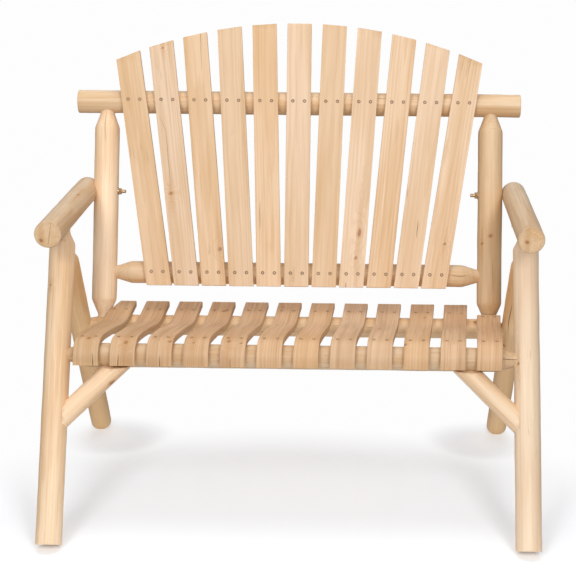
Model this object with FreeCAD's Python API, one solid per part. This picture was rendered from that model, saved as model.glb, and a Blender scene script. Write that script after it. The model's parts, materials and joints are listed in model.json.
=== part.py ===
import FreeCAD, Part
import math
import os
from FreeCAD import Placement, Rotation, Vector

# A rustic two-seat garden bench of peeled round logs with fanned back slats and curved seat slats.
# Lengths are in millimetres and angles in degrees. X runs to the right, Y to the back and Z up.
# The floor is at Z = 0 and the origin lies below the middle of the bench. The bench faces minus Y.

# Where the logs stand, seen from the side; distances to the back start at the middle of a front foot
leg_span = 1008.0
front_lean = 26.5
foot_spread = 710.0
strut_drop = 45.5
foot_flat = 3.0
seat_front_height = 362.0
seat_rear_height = 336.5
back_recline = 18.4
lower_rail_rise = 123.0
top_rail_rise = 524.0
arm_height = 645.0
arm_front_overhang = 170.7
arm_rear_overhang = 25.5
arm_inset = 1.5
arm_swing = 5.0
arm_flat_lead = 55.4
arm_post_lap = 6.0
top_rail_overhang = 69.0

# Thickness of the logs, as radii
leg_r = 28.5
rear_leg_r = 26.0
arm_r = 29.0
post_r = 29.5
top_rail_r = 27.5
lower_rail_r = 26.5
front_rail_r = 26.5
rear_rail_r = 24.0
brace_r = 23.0
end_ease = 2.5

# Coned tenons and the round mortises that take them
rail_tenon_r = 16.0
post_tenon_r = 17.0
post_foot_tenon_r = 14.5
post_foot_tenon_depth = 26.0
leg_tenon_r = 16.0
strut_tenon_r = 12.5
cone_length = 34.0
leg_cone_length = 24.0
slanted_neck = 9.0
tenon_depth = 36.0
strut_tenon_depth = 24.0
tenon_side_fit = 0.15
tenon_end_fit = 0.8
joint_flat = 1.0

# Knee braces in the plane of the front legs
brace_reach = 153.0
brace_screw_inset = 33.0
brace_screw_sink = 7.0

# Back slats; the margins run from the posts to the middle of the outer slats
back_slat_width = 57.0
back_slat_thickness = 15.0
back_slat_gap = 7.5
back_low_margin = 98.0
back_top_margin = 66.5
back_slat_below = 31.5
back_arch_above = 182.0
back_arch_radius = 1050.0
slat_seat_cut = 1.0
back_screw_half_pitch = 13.6

# Seat slats; the margin runs from the end of the front rail to the middle of the outer slat
seat_slat_width = 55.0
seat_slat_thickness = 16.0
seat_slat_gap = 23.0
seat_side_margin = 46.5
seat_lip = 7.0
seat_dip = 11.0
seat_rear_rise = 6.2
seat_rear_end = 44.0
seat_skew = 4.9
seat_skew_shift = 9.0
seat_run_shares = (0.0, 0.19, 0.40, 0.62, 0.83, 1.0)
seat_fall_shares = (0.0, 0.12, 0.35, 0.68, 0.90, 1.0)
seat_dip_shares = (0.0, 0.245, 0.611, 0.978, 0.978, 0.0)
seat_post_gap = 0.3
seat_screw_half_pitch = 14.0
short_slat_end = 9.0
short_slat_screw_back = 16.0

# Screws, nails and bolts
screw_r = 2.0
screw_head_r = 4.0
screw_head_h = 2.6
screw_tip = 6.0
screw_slot_width = 1.0
screw_slot_depth = 1.4
screw_slot_reach = 2.4
back_screw_length = 38.0
seat_screw_length = 40.0
brace_screw_length = 62.0
nail_r = 1.4
nail_head_r = 2.6
nail_head_h = 1.4
nail_tip = 4.0
nail_length = 40.0
bolt_r = 4.0
bolt_head_r = 9.5
bolt_head_h = 4.5
bolt_head_sink = 11.5
bolt_end = 10.4
bolt_hole_fit = 0.2
bolt_head_fit = 0.5
bolt_end_ease = 0.8
nut_flats = 13.0
nut_h = 6.5
washer_r = 9.0
washer_h = 1.6
washer_sink = 2.0
washer_fit = 0.3
same_spot = 1e-6
seam_turn = 37.0

# Values that follow from the ones above
half_legs = leg_span / 2
half_arms = half_legs - arm_inset
half_posts = half_arms - arm_r - post_r + arm_post_lap
top_rail_length = (half_posts + top_rail_overhang) * 2
front_foot_z = leg_r * math.sin(math.radians(front_lean)) - foot_flat
joint_height = arm_height - strut_drop
joint_back = (joint_height - front_foot_z) * math.tan(math.radians(front_lean))
rear_foot_z = 0
for turn in range(30):
    # The rear leg leans forward so that it meets the front leg at the joint below the armrest
    rear_lean = math.degrees(math.atan2(foot_spread - joint_back, joint_height - rear_foot_z))
    rear_foot_z = rear_leg_r * math.sin(math.radians(rear_lean)) - foot_flat
front_tip = leg_r * math.cos(math.radians(front_lean)) - end_ease * math.sin(math.radians(front_lean))
rear_tip = rear_leg_r * math.cos(math.radians(rear_lean)) - end_ease * math.sin(math.radians(rear_lean))
mid_depth = (foot_spread + rear_tip - front_tip) / 2
front_rail_along = seat_front_height / math.cos(math.radians(front_lean))
rear_rail_along = seat_rear_height / math.cos(math.radians(rear_lean))

X_AXIS = Vector(1, 0, 0)
Y_AXIS = Vector(0, 1, 0)
Z_AXIS = Vector(0, 0, 1)
SIDES = (("left", -1), ("right", 1))


def side_frame(back, height, tilt):
    # A frame whose own Y runs up along a log that leans back by tilt, and whose own Z faces forward
    return Placement(Vector(0, back - mid_depth, height), Rotation(X_AXIS, 90 - tilt))


front_frame = side_frame(0, front_foot_z, front_lean)
rear_frame = side_frame(foot_spread, rear_foot_z, -rear_lean)
rear_rail_spot = rear_frame.multVec(Vector(0, rear_rail_along, 0))
front_rail_spot = front_frame.multVec(Vector(0, front_rail_along, 0))
back_frame = Placement(rear_rail_spot, Rotation(X_AXIS, 90 - back_recline))


def in_frame(frame, x, along, forward=0):
    return frame.multVec(Vector(x, along, forward))


def heading(frame, x, along, forward=0):
    return frame.Rotation.multVec(Vector(x, along, forward))


def placed(shape, start, along):
    # A copy that stands on start and points along. The seam of a round surface is turned away from
    # the nails and mortises, which lie square to the bench.
    copy = shape.copy()
    copy.Placement = Placement(start, Rotation(Z_AXIS, along).multiply(Rotation(Z_AXIS, seam_turn)))
    return copy


def turned(outline, start, along):
    # A round piece made from (distance, radius) pairs
    points = [Vector(0, 0, outline[0][0])]
    points += [Vector(radius, 0, distance) for distance, radius in outline]
    points.append(Vector(0, 0, outline[-1][0]))
    points.append(points[0])
    kept = [points[0]]
    for point in points[1:]:
        if (point - kept[-1]).Length > same_spot:
            kept.append(point)
    face = Part.Face(Part.makePolygon(kept))
    solid = face.revolve(Vector(0, 0, 0), Z_AXIS, 360)
    return placed(solid, start, along)


def round_bar(radius, length, start, along):
    return turned([(0, radius), (length, radius)], start, along)


def square_start(radius):
    return [(0, radius - end_ease), (end_ease, radius)]


def square_end(length, radius):
    return [(length - end_ease, radius), (length, radius - end_ease)]


def coned_start(radius, tenon_r, depth):
    return [(-depth, tenon_r), (0, tenon_r), (cone_length, radius)]


def coned_end(length, radius, tenon_r, depth, cone=cone_length, neck=0):
    shoulder = length - neck
    return [(shoulder - cone, radius), (shoulder, tenon_r), (length + depth, tenon_r)]


def bore(mouth, inward, radius, depth):
    # A round hole that opens a little before the mouth, so that it cuts through a round surface
    lead = leg_r
    start = mouth - inward * lead
    return round_bar(radius + tenon_side_fit, depth + lead + tenon_end_fit, start, inward)


def floor_cut(shape):
    box = Part.makeBox(leg_span * 2, leg_span * 2, leg_span, Vector(-leg_span, -leg_span, -leg_span))
    return shape.cut(box)


def screw_outline(length):
    shank = [(screw_head_h, screw_r), (length - screw_tip, screw_r), (length, 0)]
    return [(0, screw_head_r)] + shank


def make_screw(length):
    # A countersunk screw with a cross slot; its head lies at the origin and its tip points up
    body = turned(screw_outline(length), Vector(0, 0, 0), Z_AXIS)
    for turn in (0, 90):
        corner = Vector(-screw_slot_reach, -screw_slot_width / 2, 0)
        slot = Part.makeBox(screw_slot_reach * 2, screw_slot_width, screw_slot_depth, corner)
        slot.rotate(Vector(0, 0, 0), Z_AXIS, turn)
        body = body.cut(slot)
    return body


def make_nail():
    outline = [(0, nail_head_r), (nail_head_h, nail_r), (nail_length - nail_tip, nail_r), (nail_length, 0)]
    return turned(outline, Vector(0, 0, 0), Z_AXIS)


parts = {}

# Front legs lean back from square-cut feet and end in a tenon that stands in the armrest
leg_rise = (arm_height - front_foot_z) / math.cos(math.radians(front_lean))
leg_mouth = leg_rise - arm_r
for name, side in SIDES:
    outline = square_start(leg_r)
    outline += coned_end(leg_mouth, leg_r, leg_tenon_r, tenon_depth, leg_cone_length, slanted_neck)
    start = in_frame(front_frame, side * half_legs, 0)
    parts["front_leg_" + name] = floor_cut(turned(outline, start, heading(front_frame, 0, 1)))

# Rear legs lean forward and end in a tenon in the back of the front leg, just below the armrest
lean_sum = math.radians(front_lean + rear_lean)
feet_apart = in_frame(rear_frame, 0, 0) - in_frame(front_frame, 0, 0)
front_normal = heading(front_frame, 0, 0, 1)
strut_crossing = -feet_apart.dot(front_normal) / math.sin(lean_sum)
strut_mouth = strut_crossing - leg_r / math.sin(lean_sum)
for name, side in SIDES:
    outline = square_start(rear_leg_r)
    outline += coned_end(
        strut_mouth, rear_leg_r, strut_tenon_r, strut_tenon_depth, cone_length, slanted_neck)
    start = in_frame(rear_frame, side * half_legs, 0)
    parts["rear_leg_" + name] = floor_cut(turned(outline, start, heading(rear_frame, 0, 1)))

# Back posts with a coned tenon at both ends
post_mouth_low = rear_rail_r
post_mouth_top = top_rail_rise - top_rail_r
for name, side in SIDES:
    length = post_mouth_top - post_mouth_low
    outline = coned_start(post_r, post_foot_tenon_r, post_foot_tenon_depth)
    outline += coned_end(length, post_r, post_tenon_r, tenon_depth)
    start = in_frame(back_frame, side * half_posts, post_mouth_low)
    parts["back_post_" + name] = turned(outline, start, heading(back_frame, 0, 1))

# Rails: the top rail lies over the posts, the other three have a coned tenon at both ends
outline = square_start(top_rail_r) + square_end(top_rail_length, top_rail_r)
parts["top_rail"] = turned(outline, in_frame(back_frame, -top_rail_length / 2, top_rail_rise), X_AXIS)


def tenoned_rail(frame, along, radius, half_mouth):
    outline = coned_start(radius, rail_tenon_r, tenon_depth)
    outline += coned_end(half_mouth * 2, radius, rail_tenon_r, tenon_depth)
    return turned(outline, in_frame(frame, -half_mouth, along), X_AXIS)


front_rail_mouth = half_legs - leg_r
rear_rail_mouth = half_legs - rear_leg_r
lower_rail_mouth = half_posts - post_r
parts["lower_back_rail"] = tenoned_rail(back_frame, lower_rail_rise, lower_rail_r, lower_rail_mouth)
parts["seat_front_rail"] = tenoned_rail(front_frame, front_rail_along, front_rail_r, front_rail_mouth)
parts["seat_rear_rail"] = tenoned_rail(rear_frame, rear_rail_along, rear_rail_r, rear_rail_mouth)

# Armrests, each turned a little to the right at the back, with a flat where they meet the post
bolt_rise = (arm_height - rear_rail_spot.z) / math.cos(math.radians(back_recline))
bolt_spot = in_frame(back_frame, 0, bolt_rise)
arm_front_y = in_frame(front_frame, 0, leg_rise).y - arm_front_overhang
arm_run = Vector(arm_swing * 2, bolt_spot.y + arm_rear_overhang - arm_front_y, 0)
arm_length = arm_run.Length
arm_along = arm_run.normalize()
joint_plane = half_posts + post_r - joint_flat
flat_reach = arm_length
for name, side in SIDES:
    start = Vector(side * half_arms - arm_swing, arm_front_y, arm_height)
    outline = square_start(arm_r) + square_end(arm_length, arm_r)
    log = turned(outline, start, arm_along)
    left_edge = -joint_plane if side < 0 else joint_plane - flat_reach
    corner = Vector(left_edge, bolt_spot.y - arm_flat_lead, arm_height - arm_r * 2)
    flat = Part.makeBox(flat_reach, arm_length, arm_r * 4, corner)
    parts["armrest_" + name] = log.cut(flat)
    outer_edge = joint_plane if side > 0 else -joint_plane - flat_reach
    corner = Vector(outer_edge, arm_front_y, arm_height - arm_r * 2)
    side_box = Part.makeBox(flat_reach, arm_length * 2, arm_r * 4, corner)
    arm_zone = turned(outline, start, arm_along)
    parts["back_post_" + name] = parts["back_post_" + name].cut(side_box.common(arm_zone))

# Knee braces, coped around the leg and the front rail
brace_start_along = front_rail_along - brace_reach
for name, side in SIDES:
    start = in_frame(front_frame, side * half_legs, brace_start_along)
    end = in_frame(front_frame, side * (half_legs - brace_reach), front_rail_along)
    along = (end - start).normalize()
    log = round_bar(brace_r, (end - start).Length, start, along)
    leg_axis = in_frame(front_frame, side * half_legs, 0)
    leg_log = round_bar(leg_r, leg_mouth, leg_axis, heading(front_frame, 0, 1))
    rail_axis = in_frame(front_frame, -half_legs, front_rail_along)
    rail_log = round_bar(front_rail_r, leg_span, rail_axis, X_AXIS)
    parts["brace_" + name] = log.cut([leg_log, rail_log])

# Back slats fan out to the top, where an arch cuts them; they lie in shallow seats in both rails
slat_back = lower_rail_r - slat_seat_cut
slat_front = slat_back + back_slat_thickness
fan_rise = top_rail_rise - lower_rail_rise
slat_low = lower_rail_rise - back_slat_below
arch_top = top_rail_rise + back_arch_above
slat_long = arch_top - slat_low + back_slat_width
low_reach = lower_rail_mouth - back_low_margin
top_reach = half_posts - back_top_margin
back_slat_count = 1 + round(low_reach * 2 / (back_slat_width + back_slat_gap))
back_middle = (back_slat_count - 1) / 2
back_pitch_low = low_reach / back_middle
back_pitch_top = top_reach / back_middle
back_screw_spots = []
for number in range(back_slat_count):
    step = number - back_middle
    fan_turn = math.atan2((back_pitch_top - back_pitch_low) * step, fan_rise)
    board = Part.makeBox(
        back_slat_width, slat_long + back_slat_width, back_slat_thickness,
        Vector(-back_slat_width / 2, -back_slat_below - back_slat_width, slat_back))
    board.rotate(Vector(0, 0, 0), Z_AXIS, -math.degrees(fan_turn))
    board.translate(Vector(back_pitch_low * step, lower_rail_rise, 0))
    disc = Part.makeCylinder(back_arch_radius, slat_front * 2, Vector(0, arch_top - back_arch_radius, 0))
    board = board.common(disc)
    corner = Vector(-leg_span, slat_low - leg_span, 0)
    below = Part.makeBox(leg_span * 2, leg_span, slat_front * 2, corner)
    board = board.cut(below)
    for rise in (lower_rail_rise, top_rail_rise):
        middle = back_pitch_low * step + math.tan(fan_turn) * (rise - lower_rail_rise)
        for way in (-1, 1):
            back_screw_spots.append((number, rise, middle + way * back_screw_half_pitch))
    board.Placement = back_frame.multiply(board.Placement)
    parts["back_slat_%02d" % (number + 1)] = board

back_screw = make_screw(back_screw_length)
back_screw_plug = turned(screw_outline(back_screw_length), Vector(0, 0, 0), Z_AXIS)
back_screws = []
back_plugs = {}
into_back = heading(back_frame, 0, 0, -1)
for number, rise, x in back_screw_spots:
    head = in_frame(back_frame, x, rise, slat_front)
    back_screws.append(placed(back_screw, head, into_back))
    back_plugs.setdefault(number, []).append(placed(back_screw_plug, head, into_back))
    back_plugs.setdefault(rise, []).append(placed(back_screw_plug, head, into_back))

# Seat slats: a waterfall lip around the front rail, a dip and a rise over the rear rail
crest_r = front_rail_r + seat_slat_thickness
rear_seat_z = rear_rail_spot.z + rear_rail_r - slat_seat_cut
seat_run = rear_rail_spot.y - front_rail_spot.y
seat_fall = front_rail_spot.z + crest_r - rear_seat_z - seat_slat_thickness
seat_z0 = front_rail_spot.z
seat_y0 = front_rail_spot.y


def seat_curve():
    points = []
    for run_share, fall_share, dip_share in zip(seat_run_shares, seat_fall_shares, seat_dip_shares):
        z = seat_z0 + crest_r - seat_fall * fall_share - seat_dip * dip_share
        points.append(Vector(0, seat_y0 + seat_run * run_share, z))
    points.append(points[-1] + Vector(0, seat_rear_end, seat_rear_rise))
    curve = Part.BSplineCurve()
    curve.interpolate(Points=points, InitialTangent=Y_AXIS, FinalTangent=(points[-1] - points[-2]))
    return curve


def seat_outline():
    top = seat_curve()
    under_points = []
    samples = 24
    for index in range(samples + 1):
        place = top.FirstParameter + (top.LastParameter - top.FirstParameter) * index / samples
        tangent = top.tangent(place)[0]
        down = X_AXIS.cross(tangent).normalize() * -seat_slat_thickness
        under_points.append(top.value(place) + down)
    under_points[0] = Vector(0, seat_y0, seat_z0 + front_rail_r)
    under = Part.BSplineCurve()
    under.interpolate(Points=under_points, InitialTangent=Y_AXIS)
    half_turn = math.sqrt(0.5)
    outer = Part.Arc(
        Vector(0, seat_y0 - crest_r, seat_z0),
        Vector(0, seat_y0 - crest_r * half_turn, seat_z0 + crest_r * half_turn),
        Vector(0, seat_y0, seat_z0 + crest_r))
    inner = Part.Arc(
        Vector(0, seat_y0 - front_rail_r, seat_z0),
        Vector(0, seat_y0 - front_rail_r * half_turn, seat_z0 + front_rail_r * half_turn),
        Vector(0, seat_y0, seat_z0 + front_rail_r))
    lip_out = Vector(0, seat_y0 - crest_r, seat_z0 - seat_lip)
    lip_in = Vector(0, seat_y0 - front_rail_r, seat_z0 - seat_lip)
    edges = [
        Part.makeLine(lip_out, Vector(0, seat_y0 - crest_r, seat_z0)),
        outer.toShape(),
        top.toShape(),
        Part.makeLine(top.value(top.LastParameter), under_points[-1]),
        under.toShape(),
        inner.toShape(),
        Part.makeLine(Vector(0, seat_y0 - front_rail_r, seat_z0), lip_in),
        Part.makeLine(lip_in, lip_out)]
    return Part.Wire(Part.__sortEdges__(edges))


def seat_height(y):
    # Height of the top of the seat slats at a place between the rails
    curve = seat_curve()
    low = curve.FirstParameter
    high = curve.LastParameter
    for turn in range(50):
        middle = (low + high) / 2
        if curve.value(middle).y < y:
            low = middle
        else:
            high = middle
    return curve.value(low).z


seat_long = seat_run + crest_r + seat_rear_end * 2
seat_slope = math.tan(math.radians(seat_skew))
seat_half = seat_slat_width / math.cos(math.radians(seat_skew)) / 2
seat_front_y = seat_y0 - crest_r
seat_reach = front_rail_mouth - seat_side_margin
seat_slat_count = 1 + round(seat_reach * 2 / (seat_slat_width + seat_slat_gap))
seat_middle = (seat_slat_count - 1) / 2
seat_pitch = seat_reach / seat_middle
seat_sheet = Part.Face(seat_outline())
plan_height = seat_z0 + leg_span


def plan_block(middle_x, half_width, z_low, z_high):
    # An upright block whose plan is the skewed outline of one seat slat
    near = seat_front_y - seat_slat_thickness
    far = seat_front_y + seat_long
    near_x = middle_x + seat_slope * (near - seat_front_y)
    far_x = middle_x + seat_slope * (far - seat_front_y)
    corners = [
        Vector(near_x - half_width, near, z_low), Vector(near_x + half_width, near, z_low),
        Vector(far_x + half_width, far, z_low), Vector(far_x - half_width, far, z_low)]
    corners.append(corners[0])
    return Part.Face(Part.makePolygon(corners)).extrude(Vector(0, 0, z_high - z_low))


def post_tool(side):
    # A back post with the gap that a seat slat keeps to it
    length = post_mouth_top - post_mouth_low
    outline = coned_start(post_r, post_foot_tenon_r, 0) + [(length, post_r)]
    wider = [(distance, radius + seat_post_gap) for distance, radius in outline]
    start = in_frame(back_frame, side * half_posts, post_mouth_low)
    return turned(wider, start, heading(back_frame, 0, 1))


seat_screw = make_screw(seat_screw_length)
seat_screw_plug = turned(screw_outline(seat_screw_length), Vector(0, 0, 0), Z_AXIS)
seat_screws = []
seat_plugs = {}
for number in range(seat_slat_count):
    step = number - seat_middle
    front_x = seat_pitch * step - seat_skew_shift
    block = plan_block(front_x, seat_half, 0, plan_height)
    wide = seat_half * 2 + seat_long * seat_slope * 2
    strip = seat_sheet.copy()
    strip.translate(Vector(front_x - wide / 2, 0, 0))
    slat = strip.extrude(Vector(wide, 0, 0)).common(block)
    last = number == seat_slat_count - 1
    if last:
        end_y = rear_rail_spot.y - short_slat_end
        box = Part.makeBox(leg_span * 2, leg_span, leg_span, Vector(-leg_span, end_y, 0))
        slat = slat.cut(box)
    if last or number == 0:
        slat = slat.cut(post_tool(1 if last else -1))
    parts["seat_slat_%02d" % (number + 1)] = slat
    rear_y = rear_rail_spot.y - (short_slat_screw_back if last else 0)
    for rail, y in (("seat_front_rail", seat_y0), ("seat_rear_rail", rear_y)):
        middle = front_x + seat_slope * (y - seat_front_y)
        for way in (-1, 1):
            head = Vector(middle + way * seat_screw_half_pitch, y, seat_height(y))
            seat_screws.append(placed(seat_screw, head, Z_AXIS * -1))
            plug = placed(seat_screw_plug, head, Z_AXIS * -1)
            seat_plugs.setdefault(number, []).append(plug)
            seat_plugs.setdefault(rail, []).append(plug)

# Bolts that hold the armrests to the posts, with a washer and a nut on the inner side
bolt_seat = half_arms + arm_r - bolt_head_sink
washer_seat = half_posts - post_r + washer_sink
bolt_length = bolt_seat - washer_seat + washer_h + nut_h + bolt_end
arm_bolts = []
arm_washers = []
arm_nuts = []
bolt_tools = {}
for name, side in SIDES:
    inward = X_AXIS * -side
    seat = Vector(side * bolt_seat, bolt_spot.y, bolt_spot.z)
    shank_end = bolt_head_h + bolt_length
    outline = [(0, bolt_head_r / 2), (bolt_head_h / 2, bolt_head_r), (bolt_head_h, bolt_head_r)]
    outline += [(bolt_head_h, bolt_r), (shank_end - bolt_end_ease, bolt_r)]
    outline += [(shank_end, bolt_r - bolt_end_ease)]
    arm_bolts.append(turned(outline, seat - inward * bolt_head_h, inward))
    ring_start = Vector(side * washer_seat, bolt_spot.y, bolt_spot.z)
    ring = round_bar(washer_r, washer_h, ring_start, inward)
    hole = round_bar(bolt_r + washer_fit, washer_h, ring_start, inward)
    arm_washers.append(ring.cut(hole))
    nut_start = ring_start + inward * washer_h
    nut_corner_r = nut_flats / math.sqrt(3)
    corners = []
    for index in range(7):
        turn = math.radians(60 * index)
        corners.append(Vector(nut_corner_r * math.cos(turn), nut_corner_r * math.sin(turn), 0))
    block = Part.Face(Part.makePolygon(corners)).extrude(Vector(0, 0, nut_h))
    block.Placement = Placement(nut_start, Rotation(Z_AXIS, inward))
    arm_nuts.append(block.cut(round_bar(bolt_r, nut_h, nut_start, inward)))
    hole = round_bar(bolt_r + bolt_hole_fit, bolt_length, seat, inward)
    pocket = round_bar(bolt_head_r + bolt_head_fit, bolt_length, seat, inward * -1)
    spot_face = round_bar(washer_r + washer_fit, post_r, ring_start, inward)
    bolt_tools[name] = (hole, pocket, spot_face)

# Screws through the knee braces, sunk in pockets on the underside
brace_screw = make_screw(brace_screw_length)
brace_plug = turned(screw_outline(brace_screw_length), Vector(0, 0, 0), Z_AXIS)
brace_screws = []
brace_edge = brace_r * math.sqrt(2)
for name, side in SIDES:
    across = half_legs - brace_screw_inset - brace_edge + brace_screw_sink
    up = front_rail_along - brace_screw_inset - brace_edge + brace_screw_sink
    outward = X_AXIS * side
    spots = (
        ("front_leg_" + name, in_frame(front_frame, side * across, brace_start_along + brace_screw_inset),
         outward),
        ("seat_front_rail", in_frame(front_frame, side * (half_legs - brace_reach + brace_screw_inset), up),
         heading(front_frame, 0, 1)))
    for holder, head, along in spots:
        brace_screws.append(placed(brace_screw, head, along))
        plug = placed(brace_plug, head, along)
        pocket = round_bar(screw_head_r, brace_r * 2, head, along * -1)
        parts["brace_" + name] = parts["brace_" + name].cut([plug, pocket])
        parts[holder] = parts[holder].cut(plug)

# Mortises
for name, side in SIDES:
    outward = X_AXIS * side
    mouth = in_frame(front_frame, side * front_rail_mouth, front_rail_along)
    rail_bore = bore(mouth, outward, rail_tenon_r, tenon_depth)
    mouth = in_frame(rear_frame, side * half_legs, strut_mouth)
    strut_bore = bore(mouth, heading(rear_frame, 0, 1), strut_tenon_r, strut_tenon_depth)
    parts["front_leg_" + name] = parts["front_leg_" + name].cut([rail_bore, strut_bore])
    mouth = in_frame(rear_frame, side * rear_rail_mouth, rear_rail_along)
    rail_bore = bore(mouth, outward, rail_tenon_r, tenon_depth)
    parts["rear_leg_" + name] = parts["rear_leg_" + name].cut(rail_bore)
    mouth = in_frame(front_frame, side * half_legs, leg_mouth)
    leg_bore = bore(mouth, heading(front_frame, 0, 1), leg_tenon_r, tenon_depth)
    hole, pocket, spot_face = bolt_tools[name]
    parts["armrest_" + name] = parts["armrest_" + name].cut([leg_bore, hole, pocket])
    mouth = in_frame(back_frame, side * lower_rail_mouth, lower_rail_rise)
    rail_bore = bore(mouth, outward, rail_tenon_r, tenon_depth)
    parts["back_post_" + name] = parts["back_post_" + name].cut([rail_bore, hole, spot_face])
    mouth = in_frame(back_frame, side * half_posts, post_mouth_top)
    top_bore = bore(mouth, heading(back_frame, 0, 1), post_tenon_r, tenon_depth)
    parts["top_rail"] = parts["top_rail"].cut(top_bore)
    mouth = in_frame(back_frame, side * half_posts, post_mouth_low)
    foot_bore = bore(mouth, heading(back_frame, 0, -1), post_foot_tenon_r, post_foot_tenon_depth)
    parts["seat_rear_rail"] = parts["seat_rear_rail"].cut(foot_bore)


def rim(radius, offset):
    # How far out the surface of a log lies beside its axis
    return math.sqrt(radius ** 2 - offset ** 2)


# One nail through every tenon, driven from a side that is not seen from the front
nail = make_nail()
nails = []
half_depth = tenon_depth / 2


def drive(start, along, names):
    pin = placed(nail, start, along)
    nails.append(pin)
    for piece in names:
        parts[piece] = parts[piece].cut(pin)


for name, side in SIDES:
    x = side * (front_rail_mouth + half_depth)
    start = in_frame(front_frame, x, front_rail_along, -rim(leg_r, leg_r - half_depth))
    drive(start, heading(front_frame, 0, 0, 1), ("front_leg_" + name, "seat_front_rail"))
    x = side * (rear_rail_mouth + half_depth)
    start = in_frame(rear_frame, x, rear_rail_along, -rim(rear_leg_r, rear_leg_r - half_depth))
    drive(start, heading(rear_frame, 0, 0, 1), ("rear_leg_" + name, "seat_rear_rail"))
    x = side * (lower_rail_mouth + half_depth)
    start = in_frame(back_frame, x, lower_rail_rise, -rim(post_r, post_r - half_depth))
    drive(start, heading(back_frame, 0, 0, 1), ("back_post_" + name, "lower_back_rail"))
    x = side * half_posts
    start = in_frame(back_frame, x, post_mouth_top + half_depth, -rim(top_rail_r, top_rail_r - half_depth))
    drive(start, heading(back_frame, 0, 0, 1), ("top_rail", "back_post_" + name))
    half_foot = post_foot_tenon_depth / 2
    start = in_frame(back_frame, x, post_mouth_low - half_foot, -rim(rear_rail_r, rear_rail_r - half_foot))
    drive(start, heading(back_frame, 0, 0, 1), ("seat_rear_rail", "back_post_" + name))
    spot = in_frame(front_frame, 0, leg_mouth + half_depth)
    arm_x = side * half_arms - arm_swing + (spot.y - arm_front_y) * arm_along.x / arm_along.y
    start = Vector(arm_x - side * rim(arm_r, arm_height - spot.z), spot.y, spot.z)
    drive(start, X_AXIS * side, ("armrest_" + name, "front_leg_" + name))
    half_strut = strut_tenon_depth / 2
    spot = in_frame(rear_frame, 0, strut_mouth + half_strut)
    beside = leg_r - half_strut * math.sin(lean_sum)
    start = Vector(side * (half_legs - rim(leg_r, beside)), spot.y, spot.z)
    drive(start, X_AXIS * side, ("front_leg_" + name, "rear_leg_" + name))

# Seats and screw holes for the slats
back_slats = []
for number in range(back_slat_count):
    node = "back_slat_%02d" % (number + 1)
    back_slats.append(parts[node])
seat_slats = []
for number in range(seat_slat_count):
    node = "seat_slat_%02d" % (number + 1)
    seat_slats.append(parts[node])
parts["lower_back_rail"] = parts["lower_back_rail"].cut(back_slats + back_plugs[lower_rail_rise])
parts["top_rail"] = parts["top_rail"].cut(back_slats + back_plugs[top_rail_rise])
parts["seat_rear_rail"] = parts["seat_rear_rail"].cut(seat_slats + seat_plugs["seat_rear_rail"])
parts["seat_front_rail"] = parts["seat_front_rail"].cut(seat_plugs["seat_front_rail"])
lip_bar = seat_sheet.copy()
lip_bar.translate(Vector(-half_legs, 0, 0))
lip_bar = lip_bar.extrude(Vector(leg_span, 0, 0))
for name, side in SIDES:
    parts["brace_" + name] = parts["brace_" + name].cut(lip_bar)
for number in range(back_slat_count):
    node = "back_slat_%02d" % (number + 1)
    parts[node] = parts[node].cut(back_plugs[number])
for number in range(seat_slat_count):
    node = "seat_slat_%02d" % (number + 1)
    parts[node] = parts[node].cut(seat_plugs[number])

# Groups of equal fasteners
parts["back_slat_screws"] = Part.makeCompound(back_screws)
parts["seat_slat_screws"] = Part.makeCompound(seat_screws)
parts["brace_screws"] = Part.makeCompound(brace_screws)
parts["tenon_nails"] = Part.makeCompound(nails)
parts["arm_bolts"] = Part.makeCompound(arm_bolts)
parts["arm_bolt_washers"] = Part.makeCompound(arm_washers)
parts["arm_bolt_nuts"] = Part.makeCompound(arm_nuts)

os.makedirs("parts", exist_ok=True)
for node in sorted(parts):
    shape = parts[node]
    solids = shape.Solids
    whole = solids[0] if len(solids) == 1 else Part.makeCompound(solids)
    whole.exportStep("parts/" + node + ".step")
    box = whole.BoundBox
    print(node, len(solids), "solids", round(box.XLength), round(box.YLength), round(box.ZLength))
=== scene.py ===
import json
import math
import bpy
import numpy as np
from mathutils import Matrix, Vector


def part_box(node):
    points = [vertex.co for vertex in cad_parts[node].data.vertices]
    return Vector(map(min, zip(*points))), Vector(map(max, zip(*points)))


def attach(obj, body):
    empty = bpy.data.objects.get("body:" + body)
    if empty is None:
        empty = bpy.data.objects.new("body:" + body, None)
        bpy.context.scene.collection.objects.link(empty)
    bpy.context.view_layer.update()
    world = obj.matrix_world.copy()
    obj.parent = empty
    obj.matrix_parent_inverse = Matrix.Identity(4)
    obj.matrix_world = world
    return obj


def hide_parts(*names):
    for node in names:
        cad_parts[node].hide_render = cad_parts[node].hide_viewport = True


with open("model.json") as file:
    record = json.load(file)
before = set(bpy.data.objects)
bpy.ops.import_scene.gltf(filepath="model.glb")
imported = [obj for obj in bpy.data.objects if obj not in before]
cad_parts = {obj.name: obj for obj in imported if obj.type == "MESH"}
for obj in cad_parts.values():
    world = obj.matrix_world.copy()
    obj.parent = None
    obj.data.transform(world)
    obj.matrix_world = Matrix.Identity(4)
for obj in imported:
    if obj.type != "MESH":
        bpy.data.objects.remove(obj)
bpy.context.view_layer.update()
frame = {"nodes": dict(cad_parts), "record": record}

# %% [markdown]
# A rustic bench of peeled logs
#
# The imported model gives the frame: every log, slat, screw and bolt at its real size and place. This
# lesson dresses it. The logs and slats are modelled again with the slight unevenness of peeled and
# hand-sawn wood, and the fasteners keep their exact shape and get metal finishes.
# Lengths are in metres. X runs to the right, Y to the back and Z up, and the bench faces minus Y.

# %% [markdown]
# Where the logs lie
#
# Each log of the bench is turned about its own axis, so it is enough to know where the axis starts,
# which way it runs and how thick the log is at each distance. That could be measured on the loaded
# meshes, but the sizes they were built from are exact and easier to read, so they are written down
# here. The boxes of two rails then show whether the numbers fit.

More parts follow.
